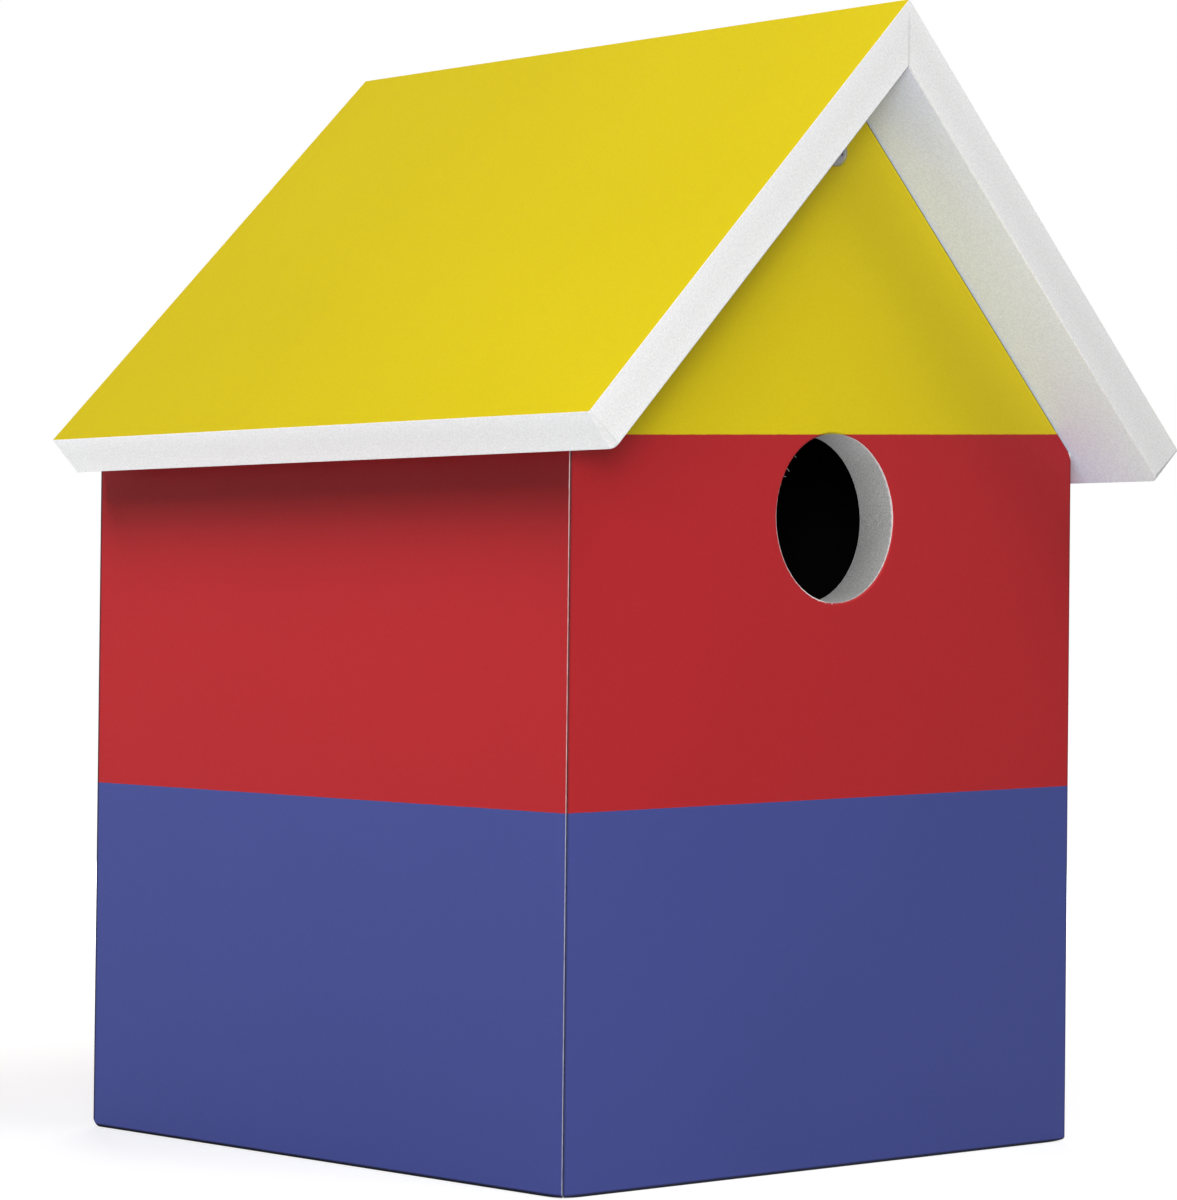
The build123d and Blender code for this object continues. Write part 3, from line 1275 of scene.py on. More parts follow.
    def back(self) -> Piece:
        """The glued back, with the keyhole.

        Returns:
            The finished piece.
        """
        node = "back_panel"
        level = (self.sizes.shoulder_z, self.sizes.shoulder_z)
        band, gable = self.across(self.band_back), self.across(level)
        paint = BandedPaint("back_bands", band, gable, grime=self.grime(node, 0, 0.95))
        finishes = {
            Face.PAINT: paint.make(),
            Face.EDGE: self.edge(node, Vector((0.0, 1.0, 0.0))),
            Face.INSIDE: self.inside,
        }
        feet = self.feet(node, 0)
        return Board("back_board", node, "gable_paint", finishes, self.gable_kind, feet=feet).build()

    def gable_kind(self, centre: Vector, normal: Vector) -> Face:
        """Kind of a face on a gable board.

        Args:
            centre: Middle of the face.
            normal: Its normal.

        Returns:
            Its kind.
        """
        outward = -1.0 if centre.y < 0.0 else 1.0
        bored = math.hypot(centre.x, centre.z - self.entrance_z) < self.entrance_radius + 0.1 * MM
        if normal.y * outward < -self.facing:
            return Face.INSIDE
        if bored and outward < 0.0 and abs(normal.y) < self.leaning:
            return Face.BORE
        if normal.y * outward > self.leaning:
            return Face.PAINT
        if abs(normal.x) > self.facing and abs(centre.x) > self.sizes.inner_x:
            return Face.PAINT
        return Face.EDGE

    def wall(self, hand: Hand) -> Piece:
        """One side wall, mitred at both ends, with its mitre tip.

        Args:
            hand: Which wall.

        Returns:
            The finished board.
        """
        house = self.sizes
        node = hand.side + "_wall"
        corner = list(Hand).index(hand)
        heights = self.band_front[corner], self.band_back[corner]
        line = PaintLine(1, house.front_y, house.back_y, *heights)
        seam = WornSeam(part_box(node)[0].y, house.shoulder_z)
        bands = BandedPaint(hand.side + "_bands", line, worn=seam, grime=self.grime(node, 1, 0.90)).make()
        finishes = {
            Face.PAINT: bands,
            Face.EDGE: self.edge(node, Vector((hand.value, 0.0, 0.0))),
            Face.INSIDE: self.inside,
        }
        MitreTip(hand).build(bands)
        kind = partial(self.wall_kind, hand)
        feet = self.feet(node, 1)
        return Board(hand.side + "_side_board", node, "wall_paint", finishes, kind, feet=feet).build()

    def wall_kind(self, hand: Hand, centre: Vector, normal: Vector) -> Face:
        """Kind of a face on a side wall.

        Args:
            hand: Which wall.
            centre: Middle of the face.
            normal: Its normal.

        Returns:
            Its kind.
        """
        out = normal.x * hand.value
        if out > self.leaning and abs(centre.x) > self.sizes.half_width - 1.0 * MM:
            return Face.PAINT
        return Face.INSIDE if out < -self.facing else Face.EDGE

    def roof(self, hand: Hand, paint: Material) -> Piece:
        """One roof board, painted on top, white at its edges and underneath, black over the room.

        Args:
            hand: Which board.
            paint: Paint of its top.

        Returns:
            The finished piece.
        """
        board = self.sizes.board
        node = hand.side + "_roof_board"
        outward = Vector((hand.value, 0.0, 1.0)).normalized()
        low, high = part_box(node)
        core = self.core(node, outward)
        span = {"eave_z": low.z, "ridge_z": high.z, "gable_y": self.sizes.front_y, "rake_y": low.y}
        finishes = {
            Face.PAINT: paint,
            Face.EDGE: self.edge(node, outward, RidgeJoint(high.z)),
            Face.INSIDE: self.inside,
            Face.EAVE: Eave(node + "_eave", outward, core, board, rake_y=low.y, back_y=high.y).make(),
            Face.UNDER: Soffit(node + "_soffit", outward, core, board, **span).make(),
            Face.ARRIS: ShadedArris(node + "_arris", outward, core, board).make(),
        }
        front_cut = (Vector((0.0, self.room_front, 0.0)), Vector((0.0, 1.0, 0.0)))
        wall_cut = (Vector((hand.value * self.room_side, 0.0, 0.0)), Vector((1.0, 0.0, 0.0)))
        return Board(
            hand.side + "_roof_slope",
            node,
            "roof_paint",
            finishes,
            partial(self.roof_kind, hand),
            cuts=(front_cut, wall_cut),
            least_edge=0.02 * MM,
        ).build()

    def roof_kind(self, hand: Hand, centre: Vector, normal: Vector) -> Face:
        """Kind of a face on a roof board.

        Args:
            hand: Which board.
            centre: Middle of the face.
            normal: Its normal.

        Returns:
            Its kind.
        """
        if normal.z > 0.1:
            return Face.PAINT
        if 0.2 < abs(normal.y) < 0.97:
            return Face.ARRIS
        if normal.x * hand.value > 0.0:
            return Face.EAVE
        if normal.z > -0.6:
            return Face.EDGE
        # painted shade: the underside over the room is black, so that the gap above the front reads dark
        over_room = abs(centre.x) < self.room_side and centre.y > self.room_front
        return Face.INSIDE if over_room else Face.UNDER

    def floor(self) -> Piece:
        """The floor board, raw all over."""
        bare = {Face.PAINT: BareBoard().make()}
        return Board("floor_board", "floor_panel", "bare_board", bare, ease=0.3 * MM).build()


@dataclass
class MitreTip:
    """The blunt front tip of one side wall: a hair of the white board under rubbed paint."""

    hand: Hand
    proud: float = 0.02 * MM
    depth: float = 0.10 * MM
    slant: float = 0.95
    narrower: float = 0.3
    lift: float = 0.3 * MM
    foot: float = 1.0 * MM

    def build(self, paint: Material) -> Piece:
        """Builds the tip as a thin strip on the wall's own tip face.

        Args:
            paint: Paint of the wall.

        Returns:
            The finished piece.
        """
        outward = Vector((self.hand.value, -1.0, 0.0)).normalized()
        bm = welded_copy(self.hand.side + "_wall")
        rest = [face for face in bm.faces if face.normal.dot(outward) < self.slant]
        bmesh.ops.delete(bm, geom=rest, context="FACES")
        merge_flat(bm)
        self.trim(bm)
        skin = bmesh.ops.extrude_face_region(bm, geom=bm.faces[:])
        raised = [part for part in skin["geom"] if isinstance(part, bmesh.types.BMVert)]
        lowered = [vertex for vertex in bm.verts if vertex not in raised]
        bmesh.ops.translate(bm, verts=raised, vec=outward * self.proud)
        bmesh.ops.translate(bm, verts=lowered, vec=outward * -self.depth)
        bmesh.ops.recalc_face_normals(bm, faces=bm.faces[:])
        name = self.hand.side + "_mitre_tip"
        mesh = mesh_of(bm, name)
        mesh.materials.append(paint)
        return new_piece(name, mesh, "house")

    def trim(self, bm: Shape) -> None:
        """Makes the strip narrower at its inner side and shorter at its foot.

        Args:
            bm: Shape of the tip face.
        """
        across = Vector((self.hand.value, 1.0, 0.0)).normalized()
        reaches = [across.dot(vertex.co) for vertex in bm.verts]
        middle = (min(reaches) + max(reaches)) / 2.0
        inner = [vertex for vertex in bm.verts if across.dot(vertex.co) < middle]
        bmesh.ops.translate(bm, verts=inner, vec=across * self.narrower * (max(reaches) - min(reaches)))
        foot = [vertex for vertex in bm.verts if vertex.co.z < self.foot]
        bmesh.ops.translate(bm, verts=foot, vec=Vector((0.0, 0.0, self.lift)))


@dataclass
class EntranceFibres:
    """A few torn fibres of the board that stand out of the entrance's rim, at its upper left."""

    house: House
    name: str = "entrance_fibres"
    behind: float = 0.45 * MM
    start: float = math.radians(134.0)
    sweep: float = math.radians(30.0)
    count: int = 6
    length: float = 1.0 * MM
    thickness: float = 0.11 * MM

    def build(self) -> Piece:
        """Builds the fibres and dresses them.

        Returns:
            The finished piece.
        """
        sizes = {
            "Radius": self.house.entrance_radius,
            "Start": self.start,
            "Sweep": self.sweep,
            "Count": self.count,
            "Length": self.length,
            "Thickness": self.thickness,
        }
        mesh = self.fibre_plan(TornFibre().make()).run(self.name, sizes)
        place = Vector((0.0, self.house.sizes.front_y + self.behind, self.house.entrance_z))
        mesh.transform(Matrix.Translation(place) @ Matrix.Rotation(math.radians(90.0), 4, "X"))
        smooth(mesh)
        return new_piece(self.name, mesh, "front")

    @staticmethod
    def fibre_plan(finish: Material) -> Plan:
        """Tree that sets bent fibres along an arc of the rim, each towards the middle and a little astray.

        Args:
            finish: Finish of the fibres.

        Returns:
            The tree.
        """
        plan = Plan("torn_fibres")
        radius, start, sweep = (plan.size(name) for name in ("Radius", "Start", "Sweep"))
        count = plan.size("Count", whole=True)
        length, thickness = plan.size("Length"), plan.size("Thickness")
        rim = {"Resolution": 64, "Radius": radius, "Start Angle": start, "Sweep Angle": sweep}
        arc = plan.step("GeometryNodeCurveArc", rim, mode="RADIUS")
        spots = plan.step("GeometryNodeCurveToPoints", {"Curve": arc, "Count": count}, mode="COUNT")
        part = partial(plan.maths, "MULTIPLY", length)
        bent = {
            "Resolution": 6,
            "Start": plan.vector(x=part(-0.3)),
            "Middle": plan.vector(x=part(0.4), z=part(0.35)),
            "End": plan.vector(x=length),
        }
        line = plan.step("GeometryNodeCurveQuadraticBezier", bent)
        section = plan.ring(6, plan.maths("MULTIPLY", thickness, 0.5))
        swept = {"Curve": line, "Profile Curve": section, "Fill Caps": True}
        fibre = plan.step("GeometryNodeCurveToMesh", swept)
        x, y, _ = plan.split(plan.position())
        inward = plan.maths("ADD", plan.maths("ARCTAN2", y, x), math.pi)
        turn = plan.vector(z=plan.maths("ADD", inward, plan.astray(-0.7, 0.7, seed=5)))
        grown = plan.astray(0.3, 1.0, seed=9)
        copies = {
            "Points": spots,
            "Instance": fibre,
            "Rotation": plan.step("FunctionNodeEulerToRotation", {0: turn}),
            "Scale": plan.vector(grown, grown, grown),
        }
        plan.close(plan.step("GeometryNodeInstanceOnPoints", copies), finish)
        return plan


@dataclass
class RidgeStrip:
    """The pine strip under the ridge."""

    name: str = "ridge_strip"
    node: str = "ridge_batten"
    ease: float = 0.8 * MM

    def build(self) -> Piece:
        """Builds the strip and dresses it."""
        pine = {Face.PAINT: Softwood().make()}
        return Board(self.name, self.node, "pine", pine, ease=self.ease).build()


class Head(Enum):
    """Heads of the two screws."""

    PAN = "pan"
    COUNTERSUNK = "countersunk"


@dataclass
class WoodScrew:
    """A wood screw: a turned head with a cross recess, and a thread wound along its core."""

    name: str
    node: str
    body: str
    head: Head
    face_y: float
    inward: Vector
    length: float = 30.0 * MM
    core_radius: float = 1.0 * MM
    shank_radius: float = 1.35 * MM
    thread_radius: float = 1.48 * MM
    pitch: float = 1.35 * MM
    neck: float = 7.0 * MM
    neck_taper: float = 0.6 * MM
    tip: float = 4.0 * MM
    pan_radius: float = 2.8 * MM
    pan_rim: float = 0.7 * MM
    pan_height: float = 2.2 * MM
    pan_ease: float = 0.12 * MM
    dome_steps: int = 10
    sunk_radius: float = 2.98 * MM
    sunk_ease: float = 0.1 * MM
    sunk_depth: float = 2.2 * MM
    recess_span: float = 2.5 * MM
    recess_width: float = 0.7 * MM
    recess_depth: float = 0.45 * MM
    segments: int = 48

    def build(self, steel: Material) -> Piece:
        """Builds the screw.

        Args:
            steel: Its finish.

        Returns:
            The finished piece.
        """
        sizes = {
            "Pitch": self.pitch,
            "Length": self.length - self.neck,
            "Start": self.neck,
            "Core Radius": self.core_radius,
            "Thread Radius": self.thread_radius,
            "Tip": self.tip,
        }
        blank = self.recessed(self.turned())
        mesh = self.thread_plan(steel).run(self.name, sizes, blank)
        low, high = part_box(self.node)
        seat = (low + high) / 2.0
        seat.y = self.face_y
        turn = Vector((0.0, 0.0, 1.0)).rotation_difference(self.inward).to_matrix().to_4x4()
        mesh.transform(Matrix.Translation(seat) @ turn)
        smooth(mesh)
        return new_piece(self.name, mesh, self.body, (self.node,))

    @property
    def top(self) -> float:
        """Height of the head's top over its seat."""
        return self.pan_height if self.head is Head.PAN else 0.0

    def outline(self) -> list[tuple[float, float]]:
        """Half outline of the blank as radius and depth, from the top of the head to the point.

        Returns:
            The points.
        """
        shank, rim = self.shank_radius, self.pan_radius
        if self.head is Head.PAN:
            dome = self.pan_height - self.pan_rim
            sphere = (rim**2 + dome**2) / (2.0 * dome)
            reach = math.asin(rim / sphere)
            turns = [reach * step / self.dome_steps for step in range(self.dome_steps + 1)]
            points = [(sphere * math.sin(a), sphere * (1.0 - math.cos(a)) - self.pan_height) for a in turns]
            points += [(rim, -self.pan_ease), (rim - self.pan_ease, 0.0), (shank, 0.05 * MM)]
        else:
            wide, ease = self.sunk_radius, self.sunk_ease
            points = [(0.0, 0.0), (wide - ease, 0.0), (wide, ease)]
            points += [(shank + ease, wide - shank), (shank, self.sunk_depth)]
        return points + [
            (shank, self.neck - self.neck_taper),
            (self.core_radius, self.neck),
            (self.core_radius, self.length - self.tip),
            (0.0, self.length),
        ]

    def turned(self) -> Mesh:
        """The blank, turned from its outline about its own Z axis.

        Returns:
            The blank.
        """
        bm = bmesh.new()
        chain = [bm.verts.new((radius, 0.0, depth)) for radius, depth in self.outline()]
        edges = [bm.edges.new(pair) for pair in zip(chain, chain[1:])]
        bmesh.ops.spin(
            bm,
            geom=chain + edges,
            axis=(0.0, 0.0, 1.0),
            cent=(0.0, 0.0, 0.0),
            angle=math.tau,
            steps=self.segments,
        )
        bmesh.ops.remove_doubles(bm, verts=bm.verts[:], dist=WELD)
        bmesh.ops.recalc_face_normals(bm, faces=bm.faces[:])
        return mesh_of(bm, self.name + "_blank")

    def recessed(self, blank: Mesh) -> Mesh:
        """The blank with the cross recess sunk into its head.

        Args:
            blank: The turned blank.

        Returns:
            A new mesh.
        """
        holder = bpy.data.objects.new(self.name + "_blank", blank)
        cutter = bpy.data.objects.new(self.name + "_punch", self.punch())
        for part in (holder, cutter):
            bpy.context.scene.collection.objects.link(part)
        cut = holder.modifiers.new("recess", "BOOLEAN")
        cut.operation = "DIFFERENCE"
        cut.solver = "EXACT"
        cut.object = cutter
        mesh = evaluated_mesh(holder, self.name + "_recessed")
        holder.modifiers.clear()
        for part in (holder, cutter):
            bpy.data.objects.remove(part)
        return mesh

    def punch(self) -> Mesh:
        """The tapered cross that is punched into the head.

        Returns:
            The cross.
        """
        half, arm = self.recess_width / 2.0, self.recess_span / 2.0
        corner = [Vector(point) for point in ((half, half), (half, arm), (-half, arm))]
        turns = [Matrix.Rotation(math.radians(90.0 * turn), 2) for turn in range(4)]
        cross = [turn @ point for turn in turns for point in corner]
        levels = [(-self.top - 1.0 * MM, 1.25), (-self.top + self.recess_depth, 0.55)]
        bm = bmesh.new()
        rings = [[bm.verts.new((p.x * wide, p.y * wide, depth)) for p in cross] for depth, wide in levels]
        count = len(cross)
        for here in range(count):
            there = (here + 1) % count
            bm.faces.new((rings[0][here], rings[0][there], rings[1][there], rings[1][here]))
        for ring in rings:
            bm.faces.new(ring)
        bmesh.ops.recalc_face_normals(bm, faces=bm.faces[:])
        return mesh_of(bm, self.name + "_punch")

    @staticmethod
    def thread_plan(steel: Material) -> Plan:
        """Tree that winds a ridge round the core and joins it to the blank.

        Args:
            steel: Finish of the screw.

        Returns:
            The tree.
        """
        plan = Plan("screw_thread")
        pitch, length, start = (plan.size(name) for name in ("Pitch", "Length", "Start"))
        core, crest, tip = (plan.size(name) for name in ("Core Radius", "Thread Radius", "Tip"))
        winding = {
            "Resolution": 40,
            "Rotations": plan.maths("DIVIDE", length, pitch),
            "Start Radius": core,
            "End Radius": core,
            "Height": length,
        }
        helix = plan.step("GeometryNodeCurveSpiral", winding)
        ridge = plan.ring(3, plan.maths("SUBTRACT", crest, core))
        wound = plan.step("GeometryNodeCurveToMesh", {"Curve": helix, "Profile Curve": ridge})
        x, y, z = plan.split(plan.position())
        narrowing = plan.span(z, plan.maths("SUBTRACT", length, tip), length, 1.0, 0.12)
        opening = plan.span(z, 0.0, pitch, 0.62, 1.0)
        factor = plan.maths("MULTIPLY", narrowing, opening)
        tapered = plan.vector(plan.maths("MULTIPLY", x, factor), plan.maths("MULTIPLY", y, factor), z)
        moved = plan.step("GeometryNodeSetPosition", {"Geometry": wound, "Position": tapered})
        place = {"Geometry": moved, "Translation": plan.vector(z=start)}
        joined = plan.node("GeometryNodeJoinGeometry")
        for part in (plan.step("GeometryNodeTransform", place), plan.given.outputs["Geometry"]):
            plan.feed(joined.inputs[0], part)
        plan.close(joined.outputs[0], steel)
        return plan


@dataclass
class DowelPair:
    """Two fluted dowels in one edge of the floor."""

    name: str
    node: str
    along: Vector
    flutes: int = 16
    flute_depth: float = 0.22 * MM
    chamfer: float = 0.6 * MM
    grain_stretch: float = 0.06

    def build(self) -> Piece:
        """Builds the pair and dresses it.

        Returns:
            The finished piece.
        """
        low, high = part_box(self.node)
        size = high - low
        radius = size.z / 2.0
        across = Vector((0.0, 0.0, 1.0)).cross(self.along)
        grain = [self.grain_stretch if abs(part) > 0.5 else 1.0 for part in self.along]
        sizes = {
            "Radius": radius,
            "Length": abs(size.dot(self.along)),
            "Spacing": abs(size.dot(across)) - 2.0 * radius,
            "Chamfer": self.chamfer,
            "Flutes": self.flutes,
            "Flute Depth": self.flute_depth,
        }
        beech = Beech(self.name + "_beech", grain).make()
        mesh = self.flute_plan(beech).run(self.name, sizes)
        turn = Matrix((across, self.along.cross(across), self.along))
        mesh.transform(Matrix.Translation((low + high) / 2.0) @ turn.transposed().to_4x4())
        smooth(mesh)
        return new_piece(self.name, mesh, "house", (self.node,))

    def flute_plan(self, beech: Material) -> Plan:
        """Tree that draws one fluted dowel along Z and sets two of them side by side along X.

        Args:
            beech: Finish of the dowels.

        Returns:
            The tree.
        """
        plan = Plan("fluted_dowels")
        radius, length, spacing = (plan.size(name) for name in ("Radius", "Length", "Spacing"))
        chamfer = plan.size("Chamfer")
        flutes = plan.size("Flutes", whole=True)
        depth = plan.size("Flute Depth")
        ring = plan.ring(plan.maths("MULTIPLY", flutes, 8.0), radius)
        place = plan.position()
        x, y, _ = plan.split(place)
        wave = plan.maths("COSINE", plan.maths("MULTIPLY", plan.maths("ARCTAN2", y, x), flutes))
        groove = plan.maths("POWER", plan.maths("MULTIPLY", plan.maths("ADD", wave, 1.0), 0.5), 3.0)
        share = plan.maths("DIVIDE", plan.maths("MULTIPLY", groove, depth), radius)
        inward = {0: place, "Scale": plan.maths("SUBTRACT", 1.0, share)}
        drawn_in = plan.step("ShaderNodeVectorMath", inward, operation="SCALE")
        fluted = plan.step("GeometryNodeSetPosition", {"Geometry": ring, "Position": drawn_in})
        half = plan.maths("MULTIPLY", length, 0.5)
        shoulder = plan.maths("SUBTRACT", half, chamfer)
        slim = plan.maths("DIVIDE", plan.maths("SUBTRACT", radius, chamfer), radius)
        lower = [plan.maths("MULTIPLY", height, -1.0) for height in (half, shoulder)]
        heights = plan.vector(z=self.pick(plan, [*lower, shoulder, half]))
        row = plan.step("GeometryNodeMeshLine", {"Count": 4})
        line = plan.step("GeometryNodeMeshToCurve", {"Mesh": row})
        path = plan.step("GeometryNodeSetPosition", {"Geometry": line, "Position": heights})
        swept = {
            "Curve": path,
            "Profile Curve": fluted,
            "Scale": self.pick(plan, [slim, 1.0, 1.0, slim]),
            "Fill Caps": True,
        }
        dowel = plan.step("GeometryNodeCurveToMesh", swept)
        apart = {
            "Count": 2,
            "Start Location": plan.vector(x=plan.maths("MULTIPLY", spacing, -0.5)),
            "Offset": plan.vector(x=spacing),
        }
        pair = plan.step("GeometryNodeMeshLine", apart)
        plan.close(plan.step("GeometryNodeInstanceOnPoints", {"Points": pair, "Instance": dowel}), beech)
        return plan

    @staticmethod
    def pick(plan: Plan, values: Sequence[Feed]) -> Socket:
        """A value for each point of a path, by the point's number.

        Args:
            plan: The tree.
            values: One value for each point.

        Returns:
            The chosen value.
        """
        switch = plan.node("GeometryNodeIndexSwitch", data_type="FLOAT")
        while len(switch.index_switch_items) < len(values):
            switch.index_switch_items.new()
        plan.feed(switch.inputs["Index"], plan.node("GeometryNodeInputIndex").outputs[0])
        for number, value in enumerate(values, start=1):
            plan.feed(switch.inputs[number], value)
        return switch.outputs[0]


@dataclass
class Spline:
    """A birch ply strip in one rear mitre, built up of its veneers."""

    hand: Hand
    thickness: float = 3.0 * MM
    width: float = 7.0 * MM
    veneers: int = 5

    def build(self) -> Piece:
        """Builds the strip and dresses it.

        Returns:
            The finished piece.
        """
        name = self.hand.side + "_ply_spline"
        node = self.hand.side + "_rear_spline"
        low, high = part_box(node)
        middle = (low + high) / 2.0
        turn = math.radians(-45.0 * self.hand.value)
        veneer = self.thickness / self.veneers
        ply = BirchPly(node + "_ply", turn, middle, veneer).make()
        sizes = {"Veneers": self.veneers, "Veneer": veneer, "Width": self.width, "Height": high.z - low.z}
        mesh = self.veneer_plan(ply).run(name, sizes)
        mesh.transform(Matrix.Translation(middle) @ Matrix.Rotation(turn, 4, "Z"))
        return new_piece(name, mesh, "house", (node,))

    @staticmethod
    def veneer_plan(ply: Material) -> Plan:
        """Tree that stacks the veneers along Y.

        Args:
            ply: Finish of the strip.

        Returns:
            The tree.
        """
        plan = Plan("ply_veneers")
        count = plan.size("Veneers", whole=True)
        veneer, width, height = (plan.size(name) for name in ("Veneer", "Width", "Height"))
        sheet = plan.step("GeometryNodeMeshCube", {"Size": plan.vector(width, veneer, height)})
        run = plan.maths("MULTIPLY", plan.maths("SUBTRACT", count, 1.0), veneer)
        stacked = {
            "Count": count,
            "Start Location": plan.vector(y=plan.maths("MULTIPLY", run, -0.5)),
            "Offset": plan.vector(y=veneer),
        }
        stack = plan.step("GeometryNodeMeshLine", stacked)
        plan.close(plan.step("GeometryNodeInstanceOnPoints", {"Points": stack, "Instance": sheet}), ply)
        return plan


@dataclass(frozen=True)
class Lamp:
    """One square soft lamp, aimed at the house from a bearing and a height in degrees."""

    name: str
    bearing: float
    height: float
    power: float
    distance: float = 1.0
    side: float = 0.5
    only: Optional[str] = None
    spares: Optional[str] = None

    def hang(self, aim: Vector) -> None:
        """Hangs the lamp.

        Args:
            aim: Point that it faces.
        """
        bearing, height = math.radians(self.bearing), math.radians(self.height)
        level = math.cos(height)
        away = Vector((math.sin(bearing) * level, -math.cos(bearing) * level, math.sin(height)))
        light = bpy.data.lights.new(self.name, "AREA")
        light.shape = "SQUARE"
        light.size = self.side
        light.energy = self.power
        lamp = bpy.data.objects.new(self.name, light)
        lamp.location = aim + away * self.distance
        lamp.rotation_mode = "QUATERNION"
        lamp.rotation_quaternion = (-away).to_track_quat("-Z", "Y")
        lamp.light_linking.receiver_collection = self.flagged()
        bpy.context.scene.collection.objects.link(lamp)

    def flagged(self) -> Optional[bpy.types.Collection]:
        """The board that the lamp lights alone or leaves out, as a flag on a stand would keep it.

        Returns:
            A collection that says so, or nothing where the lamp lights everything.
        """
        board = self.only or self.spares
        if not board:
            return None
        flag = bpy.data.collections.new(self.name + "_flag")
        flag.objects.link(bpy.data.objects[board])
        flag.collection_objects[0].light_linking.link_state = "INCLUDE" if self.only else "EXCLUDE"
        return flag


@dataclass
class Studio:
    """Pale floor, white surround and soft lamps."""

    floor_side: float = 12.0
    surround_colour: Colour = (1.0, 1.0, 1.0, 1.0)
    floor_colour: Colour = (0.62, 0.62, 0.62, 1.0)
    seen_floor: Colour = (0.53, 0.53, 0.53, 1.0)
    near_glow: float = 0.64
    far_glow: float = 1.0
    near_radius: float = 0.25
    far_radius: float = 0.60
    ahead: tuple[float, float, float] = (-0.69, -0.73, 0.0)
    ahead_reach: tuple[float, float] = (-0.02, 0.06)
    ahead_glow: float = 0.08
    sky: float = 0.08
    aim: Vector = field(default_factory=lambda: Vector((0.0, 0.0, 0.11)))
    shaded_wall: str = "left_side_board"

    def lamps(self) -> list[Lamp]:
        """Two steep keys for the left wall alone, so that the eave shades it, and six lamps for the rest.

        Returns:
            The lamps.
        """
        wall = self.shaded_wall
        return [
            Lamp("wall_key", -85.0, 62.0, 7.3, side=0.42, only=wall),
            Lamp("wall_rear_key", -110.0, 52.0, 8.2, side=0.42, only=wall),
            Lamp("overhead", 10.0, 60.0, 4.5, spares=wall),
            Lamp("front_key", -43.0, 5.0, 3.3, side=0.22, spares=wall),
            Lamp("near_key", -50.0, 14.0, 0.41, distance=0.45, side=0.18, spares=wall),
            Lamp("left_fill", -80.0, 2.0, 1.15, side=0.20, spares=wall),
            Lamp("rear_left", -125.0, 2.0, 3.9, side=0.20, spares=wall),
            Lamp("rear_right", 140.0, 12.0, 7.0, spares=wall),
        ]

    def build(self) -> None:
        """Builds the surround, the floor and the lamps, and sets how colours are shown."""
        self.surround()
        self.floor()
        for lamp in self.lamps():
            lamp.hang(self.aim)
        bpy.context.scene.view_settings.view_transform = "Standard"

    def surround(self) -> None:
        """A white world, dimmer as a light than as a background."""
        world = bpy.data.worlds.new("surround")
        bpy.context.scene.world = world
        world.use_nodes = True
        sheet = NodeSheet(world.node_tree)
        sheet.tree.nodes.clear()
        shown = sheet.node("ShaderNodeBackground", {"Color": self.surround_colour})
        lit = sheet.node("ShaderNodeBackground", {"Color": self.surround_colour, "Strength": self.sky})
        rays = sheet.node("ShaderNodeLightPath").outputs
        seen = rays["Is Camera Ray"]
        for name in ("Is Glossy Ray", "Is Transmission Ray"):
            seen = sheet.maths("MAXIMUM", seen, rays[name])
        mix = sheet.node("ShaderNodeMixShader", {0: seen, 1: lit.outputs[0], 2: shown.outputs[0]})
        sheet.node("ShaderNodeOutputWorld", {"Surface": mix.outputs[0]})

    def floor(self) -> None:
        """A pale floor that the camera sees as white, with the shadow of the house on it."""
        half = self.floor_side / 2.0
        mesh = bpy.data.meshes.new("studio_floor")
        corners = [(-half, -half, 0.0), (half, -half, 0.0), (half, half, 0.0), (-half, half, 0.0)]
        mesh.from_pydata(corners, [], [(0, 1, 2, 3)])
        mesh.materials.append(self.floor_paint())
        floor = bpy.data.objects.new("studio_floor", mesh)
        bpy.context.scene.collection.objects.link(floor)

    def floor_paint(self) -> Material:
        """Matt white paint, which glows for the camera, more so away from the house and ahead of it.

        Returns:
            The material.
        """
        bench = Bench("studio_floor")
        bench.tree.nodes.remove(bench.shader)
        plain = bench.node("ShaderNodeBsdfDiffuse", {"Color": self.floor_colour})
        shaded = bench.node("ShaderNodeBsdfDiffuse", {"Color": self.seen_floor})
        reach = bench.node("ShaderNodeVectorMath", {0: bench.place}, operation="LENGTH").outputs["Value"]
        away = bench.span(reach, self.near_radius, self.far_radius, self.near_glow, self.far_glow)
        ahead = bench.span(bench.depth_along(self.ahead), *self.ahead_reach, 0.0, self.ahead_glow)
        glow = bench.node("ShaderNodeEmission", {"Strength": bench.maths("ADD", away, ahead)})
        both = bench.node("ShaderNodeAddShader", {0: shaded.outputs[0], 1: glow.outputs[0]})
        seen = bench.node("ShaderNodeLightPath").outputs["Is Camera Ray"]
        mix = bench.node("ShaderNodeMixShader", {0: seen, 1: plain.outputs[0], 2: both.outputs[0]})
        bench.feed(bench.output.inputs["Surface"], mix.outputs[0])
        return bench.material


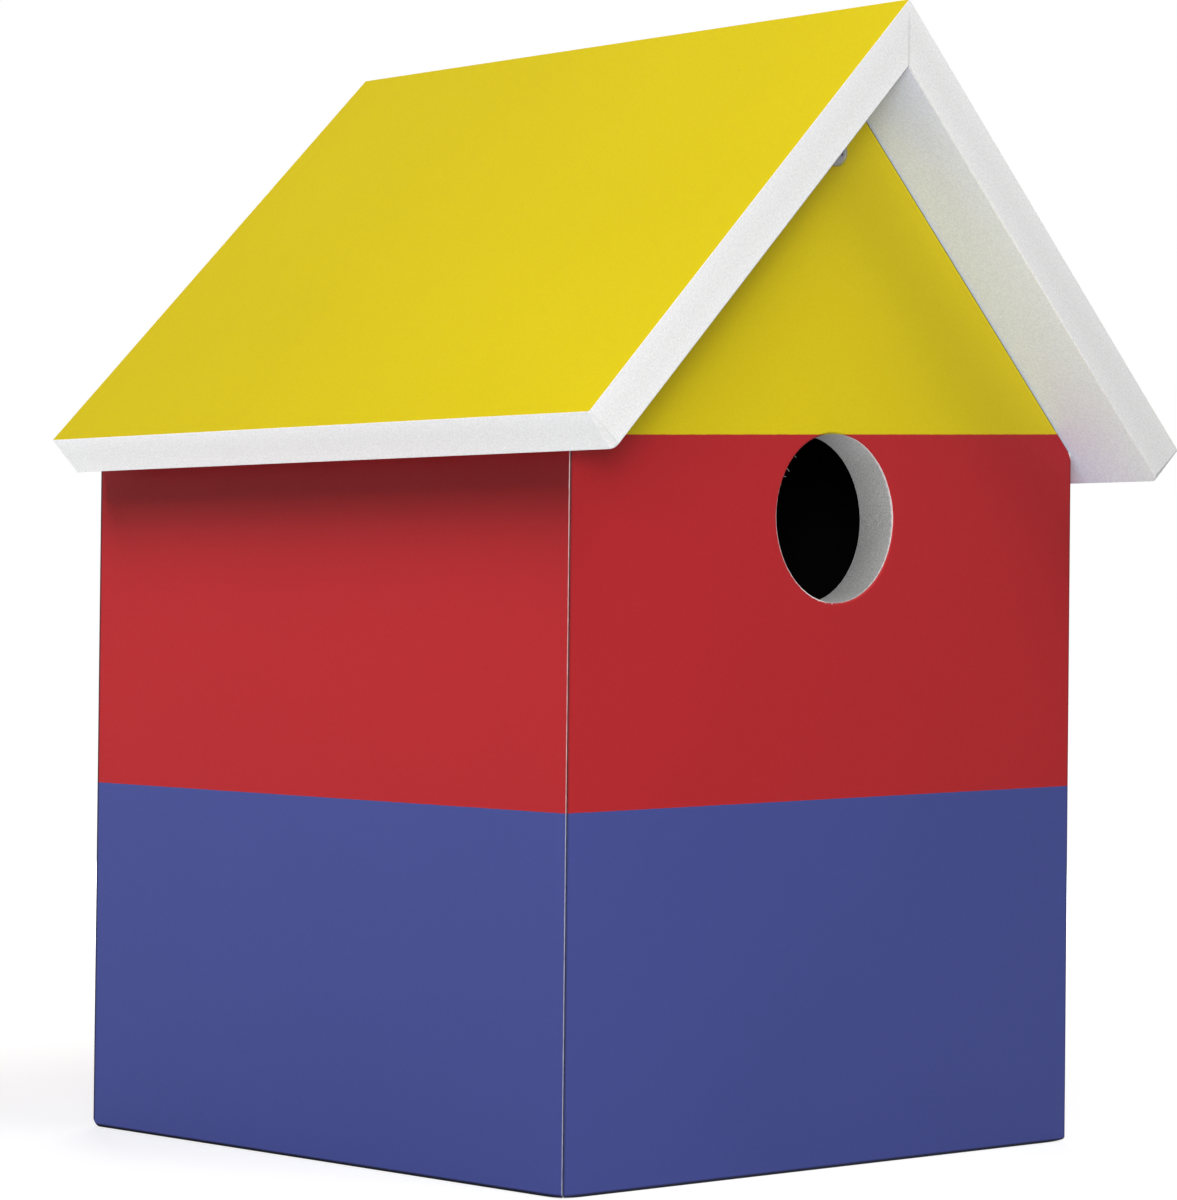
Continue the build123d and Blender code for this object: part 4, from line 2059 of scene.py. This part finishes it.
@dataclass(frozen=True)
class PhotoCamera:
    """The camera of the photograph, fitted to the corners of the house."""

    azimuth: float = math.radians(-43.262)
    elevation: float = math.radians(-0.778)
    roll: float = math.radians(0.611)
    distance: float = 807.086 * MM
    aside: float = 1.258 * MM
    above: float = 2.723 * MM
    target: tuple[float, float, float] = (0.0, 8.75 * MM, 105.0 * MM)
    lens: float = 119.721
    sensor: float = 36.0

    def build(self) -> Piece:
        """Builds the camera and makes it the scene's own.

        Returns:
            The camera.
        """
        back = Vector(
            (
                math.sin(self.azimuth) * math.cos(self.elevation),
                -math.cos(self.azimuth) * math.cos(self.elevation),
                math.sin(self.elevation),
            )
        )
        level = Vector((math.cos(self.azimuth), math.sin(self.azimuth), 0.0))
        upward = back.cross(level)
        right = math.cos(self.roll) * level + math.sin(self.roll) * upward
        up = math.cos(self.roll) * upward - math.sin(self.roll) * level
        place = Vector(self.target) + back * self.distance + right * self.aside + up * self.above
        data = bpy.data.cameras.new("photo_camera")
        data.lens = self.lens
        data.sensor_width = self.sensor
        camera = bpy.data.objects.new("photo_camera", data)
        camera.matrix_world = Matrix.Translation(place) @ Matrix((right, up, back)).transposed().to_4x4()
        bpy.context.scene.collection.objects.link(camera)
        bpy.context.scene.camera = camera
        return camera


def main() -> None:
    """Builds every piece of the house, then the camera and the studio round it."""
    logging.basicConfig(level=logging.INFO, format="%(name)s: %(message)s")
    sizes = HouseSizes.from_frame()
    house = House(sizes)
    house.build()
    EntranceFibres(house).build()
    RidgeStrip().build()
    steel = ZincSteel().make()
    along_x, along_y = Vector((1.0, 0.0, 0.0)), Vector((0.0, 1.0, 0.0))
    screws = (
        WoodScrew("front_wood_screw", "front_screw", "screw", Head.PAN, sizes.front_y, along_y),
        WoodScrew("rear_wood_screw", "rear_screw", "house", Head.COUNTERSUNK, sizes.back_y, -along_y),
    )
    for screw in screws:
        screw.build(steel)
    runs = {"front": along_y, "rear_floor": along_y, "left_floor": along_x, "right_floor": along_x}
    for place, along in runs.items():
        DowelPair(place + "_fluted_dowels", place + "_dowels", along).build()
    for hand in Hand:
        Spline(hand).build()
    PhotoCamera().build()
    Studio().build()


if __name__ == "__main__":
    main()
